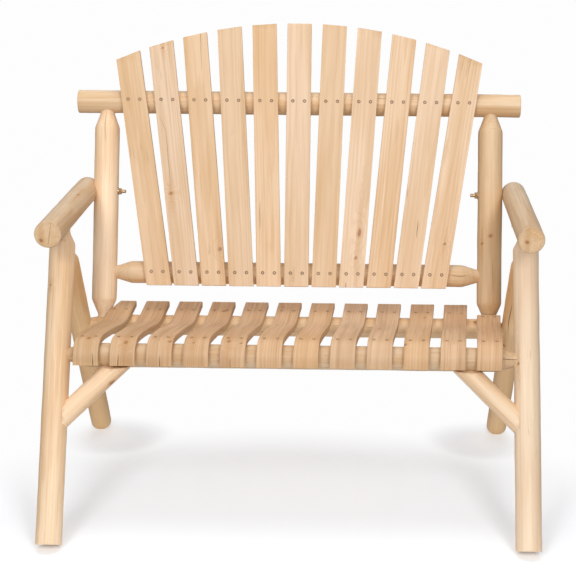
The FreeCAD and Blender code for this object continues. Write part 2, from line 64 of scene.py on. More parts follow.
# %% Places and directions of the frame
def leaning(degrees):
    angle = math.radians(degrees)
    return Vector((0, math.sin(angle), math.cos(angle)))


RIGHT = Vector((1, 0, 0))
BACK = Vector((0, 1, 0))
UP = Vector((0, 0, 1))
SIDES = (("left", -1), ("right", 1))
half_legs = 0.504
half_arms = 0.5025
half_posts = 0.450
front_foot = Vector((0, -0.35269, 0.00972))
rear_foot = Vector((0, 0.35731, 0.01202))
front_rail = Vector((0, -0.17220, 0.37172))
rear_rail = Vector((0, 0.11905, 0.34852))
front_up = leaning(26.5)
rear_up = leaning(-35.3)
back_up = leaning(18.4)
back_out = Vector((0, -back_up.z, back_up.y))
for name, axis in (("seat_front_rail", front_rail), ("seat_rear_rail", rear_rail)):
    low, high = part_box(name)
    off = ((low + high) / 2 - axis).yz.length
    print(name, "is off its axis by", round(off * 1000, 2), "mm")

# %% [markdown]
# Small habits of the workshop
#
# A Blender operator works on everything that is selected, and the loaded frame is selected. Meshes
# could also be built from lists of points, but operators are what the menus offer, so this lesson
# keeps to them. Each job starts by laying all pieces aside, and each modifier is applied as soon as
# it is set.

# %% Laying aside, modifiers and cutting out
def lay_aside():
    if bpy.context.object and bpy.context.object.mode != "OBJECT":
        bpy.ops.object.mode_set(mode="OBJECT")
    bpy.ops.object.select_all(action="DESELECT")


def take(piece):
    lay_aside()
    piece.select_set(True)
    bpy.context.view_layer.objects.active = piece


def use_modifier(piece, kind, **settings):
    take(piece)
    bpy.ops.object.modifier_add(type=kind)
    tool = piece.modifiers[-1]
    for name, value in settings.items():
        setattr(tool, name, value)
    bpy.ops.object.modifier_apply(modifier=tool.name)


def cut_out(piece, bit):
    use_modifier(piece, "BOOLEAN", object=bit, operation="DIFFERENCE", solver="EXACT")
    take(bit)
    bpy.ops.object.delete()


was_selected = len(bpy.context.selected_objects)
lay_aside()
print(was_selected, "pieces were selected, now", len(bpy.context.selected_objects))

# %% [markdown]
# Rings along a log
#
# The ends of these logs are coned down to round tenons, and a sawn end has a slightly eased rim. A
# list of thicknesses could name every ring of such a log, but only the corners say what it looks
# like. So the list holds corners, and the rings are worked out: each inner corner is rounded a
# little, because a drawknife leaves no sharp shoulder, and long stretches get a ring every
# centimetre or so, so that the log can be made uneven afterwards.

# %% From corners to rings
RING_STEP = 0.012
SHOULDER_EASE = 0.004
EASE_SHARE = 0.4


def rounded_rings(outline):
    points = [Vector(pair) for pair in outline]
    soft = [points[0]]
    for before, corner, after in zip(points, points[1:], points[2:]):
        back, on = before - corner, after - corner
        reach = min(SHOULDER_EASE, back.length * EASE_SHARE, on.length * EASE_SHARE)
        start, end = corner + back.normalized() * reach, corner + on.normalized() * reach
        soft += [start, (start + corner * 2 + end) / 4, end]
    soft.append(points[-1])
    rings = [soft[0]]
    for point in soft[1:]:
        steps = max(1, round((point.x - rings[-1].x) / RING_STEP))
        first = rings[-1]
        rings += [first.lerp(point, step / steps) for step in range(1, steps + 1)]
    return rings


print("a plain log of one metre gets", len(rounded_rings(((0, 0.03), (1, 0.03)))), "rings")

# %% [markdown]
# Turning a log
#
# A peeled log could be a plain cylinder, but then its cones and rims would have to be added one by
# one. So a flat disc is drawn at the log's foot and pulled up its axis ring by ring, and each ring is
# resized to the thickness there, as on a lathe. Both flat ends are inset, so that the end grain has
# points of its own.

# %% A log, pulled up from its foot
LOG_SIDES = 40
END_INSET = 0.3


def upright_to(along):
    return along.to_track_quat("Z", "Y").to_euler()


def name_new(name):
    piece = bpy.context.object
    piece.name = piece.data.name = name
    return piece


def settle():
    bpy.ops.object.mode_set(mode="OBJECT")
    bpy.ops.object.transform_apply(location=True, rotation=True, scale=True)


def turn_log(name, start, along, outline):
    lay_aside()
    rings = rounded_rings(outline)
    bpy.ops.mesh.primitive_circle_add(
        vertices=LOG_SIDES, radius=rings[0].y, fill_type="NGON",
        location=start + along * rings[0].x, rotation=upright_to(along))
    log = name_new(name)
    bpy.ops.object.mode_set(mode="EDIT")
    bpy.ops.mesh.select_mode(type="FACE")
    bpy.ops.mesh.select_all(action="SELECT")
    for last, ring in zip(rings, rings[1:]):
        bpy.ops.mesh.extrude_region_move(TRANSFORM_OT_translate={"value": along * (ring.x - last.x)})
        bpy.ops.transform.resize(value=(ring.y / last.y,) * 3, center_override=start + along * ring.x)
    bpy.ops.object.mode_set(mode="OBJECT")
    for face in log.data.polygons:
        face.select = len(face.vertices) > 4
    bpy.ops.object.mode_set(mode="EDIT")
    for again in range(2):
        bpy.ops.mesh.inset(thickness=rings[0].y * END_INSET)
    bpy.ops.mesh.select_all(action="SELECT")
    bpy.ops.mesh.normals_make_consistent(inside=False)
    settle()
    return log


print("a log is turned with", LOG_SIDES, "sides")

# %% [markdown]
# Uneven by hand
#
# No peeled log is quite round. Bumps in the material could hint at that, but the outline would stay
# a ruler's edge. So a cloud pattern pushes the surface in by up to a millimetre or two, never out,
# and the log stays inside the space that the frame gives it. Sawing a foot flat on the floor and
# drilling a pocket over a bolt head come after that, so their cuts stay true.

# %% Unevenness, saw cuts and pockets
SAW_TOUCH = 0.00001
DRILL_SIDES = 32
DRILL_DEPTH = 0.03
SOFT_ANGLE = math.radians(38)


def make_uneven(piece, depth, spread):
    cloud = bpy.data.textures.new("hand_cut_" + piece.name, "CLOUDS")
    cloud.noise_scale = spread
    cloud.noise_depth = 2
    use_modifier(piece, "DISPLACE", texture=cloud, strength=depth, mid_level=1.0)


def saw_off(piece, place, outward):
    take(piece)
    bpy.ops.object.mode_set(mode="EDIT")
    bpy.ops.mesh.select_all(action="SELECT")
    bpy.ops.mesh.bisect(
        plane_co=place, plane_no=outward, use_fill=True, clear_outer=True, threshold=SAW_TOUCH)
    bpy.ops.object.mode_set(mode="OBJECT")


def drill(piece, start, along, radius):
    lay_aside()
    bpy.ops.mesh.primitive_cylinder_add(
        vertices=DRILL_SIDES, radius=radius, depth=DRILL_DEPTH,
        location=start + along * DRILL_DEPTH / 2, rotation=upright_to(along))
    cut_out(piece, bpy.context.object)


def soften_light(piece):
    take(piece)
    bpy.ops.object.shade_smooth_by_angle(angle=SOFT_ANGLE)


print("a saw cut leaves points that are within", SAW_TOUCH * 1000, "mm of it")

# %% [markdown]
# Knots and cracks as places
#
# A knot is round and a crack is long and thin, and both sit at one spot of one piece. They could be
# painted on a picture, but a picture is flat and a log is round. So the mesh itself carries, for
# each of its points, how far it lies from the middle of the knot or crack: across the wood, along
# it, and a third number that is high on the side that has none.
# A face is told by the way it looks and the way across it. On a log both are turned by an angle.

# %% Measuring from a knot, a crack or a check
FAR = (9.0, 9.0, 9.0)
FRONT_FACE = ((0.0, -1.0), (1.0, 0.0))
TOP_FACE = ((0.0, 1.0), (1.0, 0.0))


def round_face(degrees):
    angle = math.radians(degrees)
    return ((math.cos(angle), math.sin(angle)), (-math.sin(angle), math.cos(angle)))


def seen_on(places, face):
    outward, across = face
    return places[:, :2] @ np.array(outward), places[:, :2] @ np.array(across)


def knot_at(places, face, across, along, stretch):
    looks, sideways = seen_on(places, face)
    board = face in (FRONT_FACE, TOP_FACE)
    away = np.where(looks > 0, 0.0, 1.0) * (not board)
    return np.stack((sideways - across, (places[:, 2] - along) / stretch, away), axis=1)


def split_along(places, face, line):
    # The line is a list of spots: how far along the piece, and how far across the face
    spots = [spot[0] for spot in line]
    looks, sideways = seen_on(places, face)
    across = sideways - np.interp(places[:, 2], spots, [spot[1] for spot in line])
    middle, half = (spots[0] + spots[-1]) / 2, (spots[-1] - spots[0]) / 2
    return np.stack((across, (places[:, 2] - middle) / half, np.where(looks > 0, 0.0, 1.0)), axis=1)


def end_check(places, degrees, reach, shift):
    # A check across the sawn start of a log
    run, sideways = seen_on(places, round_face(degrees))
    return np.stack((sideways - shift, run / reach, places[:, 2]), axis=1)


def end_knot(places, across, out):
    # A small knot in the sawn start of a log
    return places - np.array((across, out, 0.0))


print("from a knot 10 mm to the side the middle of a board lies", knot_at(
    np.zeros((1, 3)), FRONT_FACE, 0.010, 0.0, 1.0)[0])

# %% [markdown]
# What the wood remembers
#
# Grain belongs to a piece before it is put at an angle. One direction for the whole bench would run
# it straight through leaning legs, so each piece carries its own directions as attributes: "grain" is
# the place in the log or board, with Z along the fibres, and the pith of the tree near its Z axis.
# "knot_a", "knot_b" and "split" are the places from the last step. "tone" tells how warm and how pale
# this piece is and how dark its crack is; on the front seat rail the low paleness is painted shade from
# the seat slats over it. "sawn_end" is one on end grain. A piece without a knot keeps the knot's place
# far away.

# %% Grain, knots, cracks and tone as attributes
chance = np.random.default_rng(7)
MARK_FIELDS = (("knot_a", "knot_a", knot_at), ("end_knot", "knot_a", end_knot),
               ("knot_b", "knot_b", knot_at), ("split", "split", split_along),
               ("check", "split", end_check))


def points_of(piece):
    flat = np.empty(len(piece.data.vertices) * 3)
    piece.data.vertices.foreach_get("co", flat)
    return flat.reshape(-1, 3)


def write_vectors(piece, name, values):
    field = piece.data.attributes.new(name, "FLOAT_VECTOR", "POINT")
    field.data.foreach_set("vector", np.ascontiguousarray(values, dtype=np.float32).ravel())


def own_places(piece, start, across, along):
    directions = np.array((across, along.cross(across), along)).T
    return (points_of(piece) - np.array(start)) @ directions


def remember(piece, places, pith, tone, marks, ends):
    shift = np.array((pith[0], pith[1], chance.uniform(0, 20)))
    write_vectors(piece, "grain", places + shift)
    none = np.tile(FAR, (len(places), 1))
    fields = {"knot_a": none, "knot_b": none, "split": none}
    for mark, field, measure in MARK_FIELDS:
        if mark in marks:
            fields[field] = measure(places, *marks[mark])
    for field, values in fields.items():
        write_vectors(piece, field, values)
    warm, pale = tone
    write_vectors(piece, "tone", np.tile((warm, pale, marks.get("dark", 0.0)), (len(places), 1)))
    mask = np.zeros(len(places), dtype=np.float32)
    mask[ends] = 1.0
    piece.data.attributes.new("sawn_end", "FLOAT", "POINT").data.foreach_set("value", mask)


print("kinds of marks", [mark for mark, field, measure in MARK_FIELDS])

# %% [markdown]
# The outlines of the logs
#
# A log either ends in a plain saw cut or is coned down to a tenon that goes into its neighbour. Every
# outline could be written out in full, but the two kinds of end repeat all over the bench. They are
# named here once, and each log is then written as its two ends.

# %% Kinds of log ends
END_EASE = 0.0015
TENON_DEPTH = 0.020
CONE = 0.034


def sawn_start(radius):
    return [(0, radius - END_EASE), (END_EASE, radius)]


def sawn_end(length, radius):
    return [(length - END_EASE, radius), (length, radius - END_EASE)]


def coned_start(radius, tenon):
    return [(-TENON_DEPTH, tenon), (0, tenon), (CONE, radius)]


def coned_end(length, radius, tenon, cone=CONE, neck=0.0):
    return [(length - neck - cone, radius), (length - neck, tenon), (length + TENON_DEPTH, tenon)]


print("a coned start, as distances and radii:", coned_start(0.0265, 0.016))

# %% [markdown]
# One log from start to end
#
# Every log goes through the same hands: it is turned, made uneven, sawn, drilled and marked. Fourteen
# copies of one log would be quicker, but no two trees are alike. So one function does the work and
# each log brings its own outline, tone and marks. Points on a saw cut are told as end grain by how
# far they lie from the ends and from the bark side.

# %% A log with all its cuts and marks
LOG_DEPTH = 0.0016
ARM_DEPTH = 0.0012
LOG_SPREAD = 0.06
BARK_SIDE = 0.0019
END_REACH = 0.0045
CUT_REACH = 0.0004
PITH_SHIFT = 0.004
logs = {}


def add_log(name, start, along, outline, tone, marks, depth=LOG_DEPTH, cuts=(), pockets=()):
    log = turn_log(name + "_wood", start, along, outline)
    make_uneven(log, depth, LOG_SPREAD)
    for place, outward in cuts:
        saw_off(log, place, outward)
    for place, inward, radius in pockets:
        drill(log, place, inward, radius)
    across = RIGHT if abs(along.x) < 0.5 else BACK
    across = (across - along * across.dot(along)).normalized()
    places = own_places(log, start, across, along)
    length, radius = outline[-1][0], max(pair[1] for pair in outline)
    inside = np.hypot(places[:, 0], places[:, 1]) < radius - BARK_SIDE
    ends = inside & ((places[:, 2] < END_REACH) | (places[:, 2] > length - END_REACH))
    if outline[0][0] < 0:
        ends &= places[:, 2] > length / 2
    for place, outward in cuts:
        ends |= abs((points_of(log) - np.array(place)) @ np.array(outward)) < CUT_REACH
    pith = chance.uniform(-PITH_SHIFT, PITH_SHIFT, 2)
    remember(log, places, pith, tone, marks, ends)
    soften_light(log)
    logs[name] = log
    print(name, round(length, 3), "m long,", len(log.data.polygons), "faces")


print("a log is up to", LOG_DEPTH * 1000, "mm thinner than its outline")

# %% [markdown]
# The legs
#
# The front legs lean back and carry the armrests. The rear legs lean forward against them. Both are
# sawn square at the foot and then stand on the rim of that cut, so a thin slice is sawn off level
# with the floor. At the top the log is coned to the tenon that goes into the next log. The right legs
# could be mirrored from the left ones, but their knots and tones differ on the real bench.

# %% Front and rear legs
floor_cut = (Vector((0, 0, 0)), -UP)
leg_radius, leg_tenon, leg_mouth, leg_cone = 0.0285, 0.016, 0.6809, 0.024
strut_radius, strut_tenon, strut_mouth = 0.026, 0.0125, 0.68755
neck = 0.009
leg_tones = {"left": (-0.1, 0.55), "right": (-0.9, 0.1)}
strut_tone = (1.4, 0.4)
front_marks = {
    "left": {"knot_b": (round_face(-132), 0, 0.552, 0.5)},
    "right": {"knot_b": (round_face(-138), 0, 0.394, 1.4)}}
rear_marks = {
    "left": {},
    "right": {"knot_a": (round_face(-131), 0, 0.375, 1.0), "dark": 0.9,
              "split": (round_face(-122), ((0.42, 0.002), (0.47, -0.001), (0.54, 0.001)))}}
for name, side in SIDES:
    foot = front_foot + RIGHT * side * half_legs
    outline = sawn_start(leg_radius) + coned_end(leg_mouth, leg_radius, leg_tenon, leg_cone, neck)
    add_log("front_leg_" + name, foot, front_up, outline, leg_tones[name], front_marks[name],
            cuts=(floor_cut,))
    foot = rear_foot + RIGHT * side * half_legs
    outline = sawn_start(strut_radius) + coned_end(strut_mouth, strut_radius, strut_tenon, CONE, neck)
    add_log("rear_leg_" + name, foot, rear_up, outline, strut_tone, rear_marks[name],
            cuts=(floor_cut,))

# %% [markdown]
# The back posts
#
# The posts stand in the rear seat rail and carry the top rail, so they are coned at both ends. On its
# inner side each post has a shallow round seat for the washer of the armrest bolt. That seat could be
# left flat on the round log, but a washer that only touches a line looks loose, so it is drilled.

# %% Posts
arm_height = 0.645
bolt_place = Vector((0, 0.21768, arm_height))
post_radius, post_rise, post_length = 0.0295, 0.024, 0.4725
foot_tenon, head_tenon = 0.0145, 0.017
washer_seat_x, washer_seat_radius = 0.4225, 0.0093
post_tones = {"left": (-0.5, 1.1), "right": (0.8, -0.6)}
post_marks = {
    "left": {"split": (round_face(-96), ((0.40, 0.004), (0.46, 0.0), (0.48, 0.001))), "dark": 0.5},
    "right": {"knot_a": (round_face(-91), 0, 0.192, 1.0), "knot_b": (round_face(-133), 0, 0.174, 1.3),
              "split": (round_face(-80), ((0.06, 0.002), (0.14, -0.001))), "dark": 0.4}}
for name, side in SIDES:
    foot = rear_rail + RIGHT * side * half_posts + back_up * post_rise
    outline = coned_start(post_radius, foot_tenon) + coned_end(post_length, post_radius, head_tenon)
    washer_seat = (bolt_place + RIGHT * side * washer_seat_x, RIGHT * -side, washer_seat_radius)
    add_log("back_post_" + name, foot, back_up, outline, post_tones[name], post_marks[name],
            pockets=(washer_seat,))

# %% [markdown]
# The rails
#
# Four logs run from side to side. The top rail lies over the posts and has plain sawn ends. The two
# seat rails and the lower back rail are coned at both ends and let into the legs and posts, so they
# share one outline and only differ in thickness and length. A loop takes them one after the other.

# %% Top rail and coned rails
top_radius, rail_radius, rear_rail_radius = 0.0275, 0.0265, 0.024
rail_tenon, top_length = 0.016, 1.038
top_rise, low_rise = 0.524, 0.123
top_axis = rear_rail + back_up * top_rise
low_axis = rear_rail + back_up * low_rise
top_marks = {"split": (round_face(138), ((0.66, 0.001), (0.74, 0.0), (0.82, 0.002))), "dark": 0.6}
low_marks = {"split": (round_face(163), ((0.775, -0.003), (0.795, 0.002), (0.82, -0.001))), "dark": 0.7}
front_rail_marks = {
    "split": (round_face(150), ((0.90, -0.002), (0.935, 0.003), (0.97, 0.001))), "dark": 0.8}
rear_rail_marks = {
    "split": (round_face(188), ((0.02, 0.0), (0.4, 0.003), (0.93, 0.0))), "dark": 0.25,
    "knot_a": (round_face(121), 0, 0.894, 1.0)}
add_log("top_rail", top_axis - RIGHT * top_length / 2, RIGHT,
        sawn_start(top_radius) + sawn_end(top_length, top_radius), (0.4, -0.25), top_marks)
# Tones are warmth and paleness. The front seat rail's paleness of -1.2 is painted shade: it darkens the
# whole rail for the shade that the seat slats cast on it.
for name, axis, radius, half_mouth, tone, marks in (
        ("lower_back_rail", low_axis, rail_radius, 0.4205, (0.5, -0.3), low_marks),
        ("seat_front_rail", front_rail, rail_radius, 0.4755, (0.4, -1.2), front_rail_marks),
        ("seat_rear_rail", rear_rail, rear_rail_radius, 0.478, (1.0, 0.0), rear_rail_marks)):
    outline = coned_start(radius, rail_tenon) + coned_end(half_mouth * 2, radius, rail_tenon)
    add_log(name, axis - RIGHT * half_mouth, RIGHT, outline, tone, marks)

# %% [markdown]
# The armrests
#
# The armrests lie on the front legs and are bolted to the posts from the side. They could run
# straight back, but on the real bench they open a little to the rear, so their two ends are placed a
# few millimetres apart. The bolt heads sit in round pockets on the outer side.

# %% Armrests
arm_front_y, arm_rear_y = -0.20669, 0.24318
arm_radius, arm_swing = 0.029, 0.005
head_pocket_x, head_pocket_radius = 0.520, 0.010
arm_tones = {"left": (0.1, -0.9), "right": (0.2, -1.2)}
arm_marks = {
    "left": {"check": (99, 0.028, -0.0043), "dark": 0.45, "end_knot": (-0.0135, 0.0125),
             "knot_b": (round_face(-63), 0, 0.27, 2.0)},
    "right": {"end_knot": (-0.009, 0.004)}}
for name, side in SIDES:
    start = Vector((side * half_arms - arm_swing, arm_front_y, arm_height))
    end = Vector((side * half_arms + arm_swing, arm_rear_y, arm_height))
    outline = sawn_start(arm_radius) + sawn_end((end - start).length, arm_radius)
    head_pocket = (bolt_place + RIGHT * side * head_pocket_x, RIGHT * side, head_pocket_radius)
    add_log("armrest_" + name, start, (end - start).normalized(), outline, arm_tones[name],
            arm_marks[name], depth=ARM_DEPTH, pockets=(head_pocket,))

# %% [markdown]
# The knee braces
#
# A short log runs at 45 degrees from each front leg to the front rail. Its ends could be hollowed to
# fit round the other logs, but on the real bench they look sawn flat, one along the leg and one along
# the rail. So each brace is made too long, cut by those two planes and let into the round wood a
# little, and only a thin dark seam is left round it.

# %% Braces
brace_radius, brace_spare = 0.023, 0.02
brace_reach, brace_rise, let_in = 0.153, 0.2515, 0.0195
brace_tones = {"left": (-0.6, 1.0), "right": (-0.3, 0.25)}
brace_marks = {"left": {"knot_a": (round_face(-133), 0, 0.150, 2.0)}, "right": {}}
for name, side in SIDES:
    low_end = front_foot + RIGHT * side * half_legs + front_up * brace_rise
    high_end = front_rail + RIGHT * side * (half_legs - brace_reach)
    run = high_end - low_end
    outline = [(-brace_spare, brace_radius), (run.length + brace_spare, brace_radius)]
    at_leg, at_rail = RIGHT * side * (half_legs - let_in), front_rail - UP * let_in
    add_log("brace_" + name, low_end, run.normalized(), outline, brace_tones[name],
            brace_marks[name], cuts=((at_leg, RIGHT * side), (at_rail, UP)))
print("logs", len(logs), "with", sum(len(log.data.polygons) for log in logs.values()), "faces")

# %% [markdown]
# How the back slats fan out
#
# Eleven boards stand on the lower rail and spread towards the top rail, where one wide arch cuts them
# off. Each board could be turned by hand until it looks right, but the spread is even: the boards are
# farther apart at the top by the same amount, and that gives the angle. The arch is so wide that each
# board's own cut is as good as straight.

# %% Sizes and angles of the back slats
SLAT_COUNT = 11
slat_width, slat_thick = 0.057, 0.015
pitch_low, pitch_top, rise_between = 0.0645, 0.0767, 0.401
slat_front = 0.0405
arch_radius, arch_top, slat_foot = 1.050, 0.706, 0.0915
arch_centre = rear_rail + back_up * (arch_top - arch_radius)


def lay_out_slat(number):
    step = number - (SLAT_COUNT - 1) / 2
    fan = math.atan2((pitch_top - pitch_low) * step, rise_between)
    along = RIGHT * math.sin(fan) + back_up * math.cos(fan)
    across = RIGHT * math.cos(fan) - back_up * math.sin(fan)
    root = low_axis + RIGHT * pitch_low * step + back_out * (slat_front - slat_thick / 2)
    x = pitch_low * step
    for again in range(3):
        rise = arch_top - arch_radius + math.sqrt(arch_radius ** 2 - x ** 2)
        x = pitch_low * step + math.tan(fan) * (rise - low_rise)
    return root, along, across, rear_rail + back_up * rise + RIGHT * x


outer_way = lay_out_slat(SLAT_COUNT - 1)[1]
print("the outer slat leans out by", round(math.degrees(math.asin(outer_way.x)), 2), "degrees")

# %% [markdown]
# Making the back slats
#
# A back slat is a sawn board with eased edges. One board could be copied eleven times, but each has
# its own angle and its own piece of the arch. So each is drawn as a block at its size, divided so that
# it can be uneven, cut at the foot and at the arch, and its edges are eased with a bevel.

# %% One back slat
SLAT_BLOCK = 0.70
SLAT_MIDDLE = 0.27
DIVISION = 0.02
EDGE_EASE = 0.0016
BOARD_DEPTH, BOARD_SPREAD = 0.0006, 0.05


def score(place, normal):
    bpy.ops.mesh.select_all(action="SELECT")
    bpy.ops.mesh.bisect(plane_co=place, plane_no=normal)


def draw_back_slat(name, root, along, across, arch_point):
    middle = root + along * SLAT_MIDDLE
    turn = Matrix((across, along.cross(across), along)).transposed().to_quaternion()
    lay_aside()
    bpy.ops.mesh.primitive_cube_add(
        size=1, location=middle, rotation=turn.to_euler(), scale=(slat_width, slat_thick, SLAT_BLOCK))
    slat = name_new(name)
    settle()
    bpy.ops.object.mode_set(mode="EDIT")
    for spot in range(-16, 17):
        score(middle + along * spot * DIVISION, along)
    for share in (-0.4, 0.0, 0.4):
        score(middle + across * share * slat_width, across)
    bpy.ops.object.mode_set(mode="OBJECT")
    saw_off(slat, arch_point, (arch_point - arch_centre).normalized())
    saw_off(slat, rear_rail + back_up * slat_foot, -back_up)
    use_modifier(slat, "BEVEL", width=EDGE_EASE, segments=3, limit_method="ANGLE",
                 angle_limit=math.radians(50))
    make_uneven(slat, BOARD_DEPTH, BOARD_SPREAD)
    return slat


print("a back slat starts as a block of", slat_width, slat_thick, SLAT_BLOCK, "m")

# %% [markdown]
# Knots and tones of the back slats
#
# Large knots, long cracks and the difference between a warm and a pale board catch the eye, so they are
# listed one by one. The small figure is left to the wood's own pattern. Each mark is written as a place
# across the board and a place along it, and a knot is also stretched along the grain.

# %% Back slats
back_marks = {
    2: {"knot_a": (FRONT_FACE, -0.013, 0.185, 0.9), "knot_b": (FRONT_FACE, 0.003, 0.525, 0.8),
        "split": (FRONT_FACE, ((0.19, -0.014), (0.22, -0.012), (0.33, -0.010), (0.37, -0.022))),
        "dark": 0.45},
    3: {"knot_a": (FRONT_FACE, 0.021, 0.052, 1.2), "dark": 0.5,
        "split": (FRONT_FACE, ((0.47, 0.0095), (0.53, 0.012), (0.66, 0.018)))},
    5: {"split": (FRONT_FACE, ((0.10, -0.018), (0.17, -0.017))), "dark": 0.6},
    8: {"knot_a": (FRONT_FACE, 0.010, 0.096, 2.6), "knot_b": (FRONT_FACE, 0.006, 0.037, 1.6),
        "split": (FRONT_FACE, ((-0.04, -0.012), (-0.02, -0.0135))), "dark": 0.7},
    10: {"split": (FRONT_FACE, ((0.085, 0.009), (0.13, 0.0075))), "dark": 0.7},
    11: {"knot_b": (FRONT_FACE, 0.009, 0.074, 1.3)}}
back_warmth = (0.4, -0.3, 0.3, 0.3, 0.2, -0.3, 0.5, -0.4, 0.0, -0.3, -0.1)
back_paleness = (-0.1, -0.2, 0.0, -0.3, 0.2, 0.0, -0.3, 0.1, 0.25, 0.1, 0.2)
ARCH_REACH = 0.0012
back_slats = []
for number in range(SLAT_COUNT):
    root, along, across, arch_point = lay_out_slat(number)
    slat = draw_back_slat("back_slat_%02d_wood" % (number + 1), root, along, across, arch_point)
    places = own_places(slat, root, across, along)
    arch_way = np.array((arch_point - arch_centre).normalized())
    on_arch = abs((points_of(slat) - np.array(arch_point)) @ arch_way) < ARCH_REACH
    ends = on_arch & (places[:, 2] > places[:, 2].max() - DIVISION)
    pith = (chance.uniform(-0.03, 0.03), chance.uniform(0.03, 0.09))
    tone = (back_warmth[number], back_paleness[number])
    remember(slat, places, pith, tone, back_marks.get(number + 1, {}), ends)
    soften_light(slat)
    back_slats.append(slat)
print("back slats", len(back_slats), "with", len(back_slats[0].data.polygons), "faces each")

# %% [markdown]
# The curve of the seat
#
# The seat slats are sawn to a curve: a rounded front that falls over the front rail, a dip where one
# sits, and a rise at the back. A curve object could draw that by eye, but the slats have to rest on
# both rails. So seven points are set from the rails, and a smooth curve is laid through them, as with
# a thin batten that is held by nails.

# %% The curve between the rails
SEAT_COUNT = 12
seat_width, seat_thick, seat_dip = 0.0552, 0.016, 0.011
rail_flat, rear_reach, rear_lift = 0.001, 0.044, 0.0062
crest = rail_radius + seat_thick
seat_run = rear_rail.y - front_rail.y
seat_fall = front_rail.z + crest - (rear_rail.z + rear_rail_radius - rail_flat + seat_thick)
run_shares = (0.0, 0.19, 0.40, 0.62, 0.83, 1.0)
fall_shares = (0.0, 0.12, 0.35, 0.68, 0.90, 1.0)
dip_shares = (0.0, 0.245, 0.611, 0.978, 0.978, 0.0)
knots_y = [front_rail.y + seat_run * share for share in run_shares] + [rear_rail.y + rear_reach]
knots_z = [front_rail.z + crest - seat_fall * fall - seat_dip * dip
           for fall, dip in zip(fall_shares, dip_shares)]
knots_z.append(knots_z[-1] + rear_lift)


def smooth_slopes(xs, zs):
    # The slopes of a smooth curve at its points solve one small set of equations
    count = len(xs)
    grid, right = np.zeros((count, count)), np.zeros(count)
    grid[0, 0] = grid[-1, -1] = 1
    right[-1] = (zs[-1] - zs[-2]) / (xs[-1] - xs[-2])
    for i in range(1, count - 1):
        a, b = xs[i] - xs[i - 1], xs[i + 1] - xs[i]
        grid[i, i - 1:i + 2] = 1 / a, 2 / a + 2 / b, 1 / b
        right[i] = 3 * ((zs[i] - zs[i - 1]) / a ** 2 + (zs[i + 1] - zs[i]) / b ** 2)
    return np.linalg.solve(grid, right)


slopes = smooth_slopes(knots_y, knots_z)
print("slopes of the seat at its points", [round(float(slope), 3) for slope in slopes])

# %% [markdown]
# Stations along a seat slat
#
# A slat bends round the front rail and then follows the curve. Bending a straight board with a
# modifier would thin it at the bend, so the middle line of the slat is written down as stations, each
# with its place and slope, half a thickness below the curve.

# %% Stations: place and slope
FRONT_STEPS = 8
CURVE_STEPS = 30
lip_drop = 0.0105
half_thick = seat_thick / 2
rear_end = rear_rail.y + rear_reach


def seat_top(y):
    # Between two points, a and b are their heights, and p and q tell how steeply it leaves them
    i = min(max(np.searchsorted(knots_y, y) - 1, 0), len(knots_y) - 2)
    span = knots_y[i + 1] - knots_y[i]
    t = (y - knots_y[i]) / span
    a, b = knots_z[i], knots_z[i + 1]
    p, q = slopes[i] * span, slopes[i + 1] * span
    z = (a * (1 + 2 * t) * (1 - t) ** 2 + p * t * (1 - t) ** 2
         + b * t * t * (3 - 2 * t) - q * t * t * (1 - t))
    dz = (b - a) * 6 * t * (1 - t) + p * (1 - t) * (1 - 3 * t) + q * t * (3 * t - 2)
    return z, math.atan(dz / span)


stations = [(front_rail.y - crest + half_thick, front_rail.z - lip_drop, math.radians(90))]
reach = crest - half_thick
for step in range(FRONT_STEPS + 1):
    angle = math.radians(90 - step * 90 / FRONT_STEPS)
    y, z = front_rail.y - math.sin(angle) * reach, front_rail.z + math.cos(angle) * reach
    stations.append((y, z, angle))
for y in np.linspace(front_rail.y, rear_end, CURVE_STEPS)[1:]:
    z, slope = seat_top(y)
    stations.append((y + math.sin(slope) * half_thick, z - math.cos(slope) * half_thick, slope))
print("seat slat: front at", round(stations[9][1] + half_thick, 4), "lowest",
      round(min(s[1] for s in stations[9:]) + half_thick, 4), "rear", round(stations[-1][1], 4))

# %% [markdown]
# Drawing a seat slat
#
# The end face of the slat, with its rounded corners, is pulled from station to station and turned to
# follow the slope. That keeps the board equally thick all along, as a sawn one is. The slats also lie
# a few degrees askew, so each station is moved sideways by its distance from the front.

# %% One slat, drawn along its stations
CORNER_EASE = 0.0026
skew = math.tan(math.radians(4.9))
front_edge = front_rail.y - crest


def draw_seat_slat(name, middle_x):
    def spot(station):
        return Vector((middle_x + skew * (station[0] - front_edge), station[0], station[1]))

    lay_aside()
    bpy.ops.mesh.primitive_plane_add(size=1, location=spot(stations[0]))
    slat = name_new(name)
    bpy.ops.object.mode_set(mode="EDIT")
    bpy.ops.mesh.select_mode(type="VERT")
    bpy.ops.mesh.select_all(action="SELECT")
    bpy.ops.transform.resize(value=(seat_width, seat_thick, 1), center_override=spot(stations[0]))
    bpy.ops.mesh.bevel(offset=CORNER_EASE, segments=3, affect="VERTICES")
    for share in (-0.25, 0.0, 0.25):
        score(spot(stations[0]) + RIGHT * share * seat_width, RIGHT)
    bpy.ops.mesh.select_mode(type="FACE")
    bpy.ops.mesh.select_all(action="SELECT")
    for last, station in zip(stations, stations[1:]):
        bpy.ops.mesh.extrude_region_move(TRANSFORM_OT_translate={"value": spot(station) - spot(last)})
        turn = last[2] - station[2]
        if abs(turn) > 1e-6:
            bpy.ops.transform.rotate(value=turn, orient_axis="X", center_override=spot(station))
    bpy.ops.mesh.select_all(action="SELECT")
    bpy.ops.mesh.normals_make_consistent(inside=False)
    settle()
    return slat


print("a seat slat drifts", round(skew * (rear_end - front_edge) * 1000, 1), "mm sideways")

# %% [markdown]
# Laying grain along a curved slat
#
# The fibres of a sawn curve really run straight through it, but the slats of this bench are so thin
# that the figure seems to follow the bend. So each point of the slat is measured along the curve and
# from the middle of its thickness, by looking for the nearest stretch between two stations.

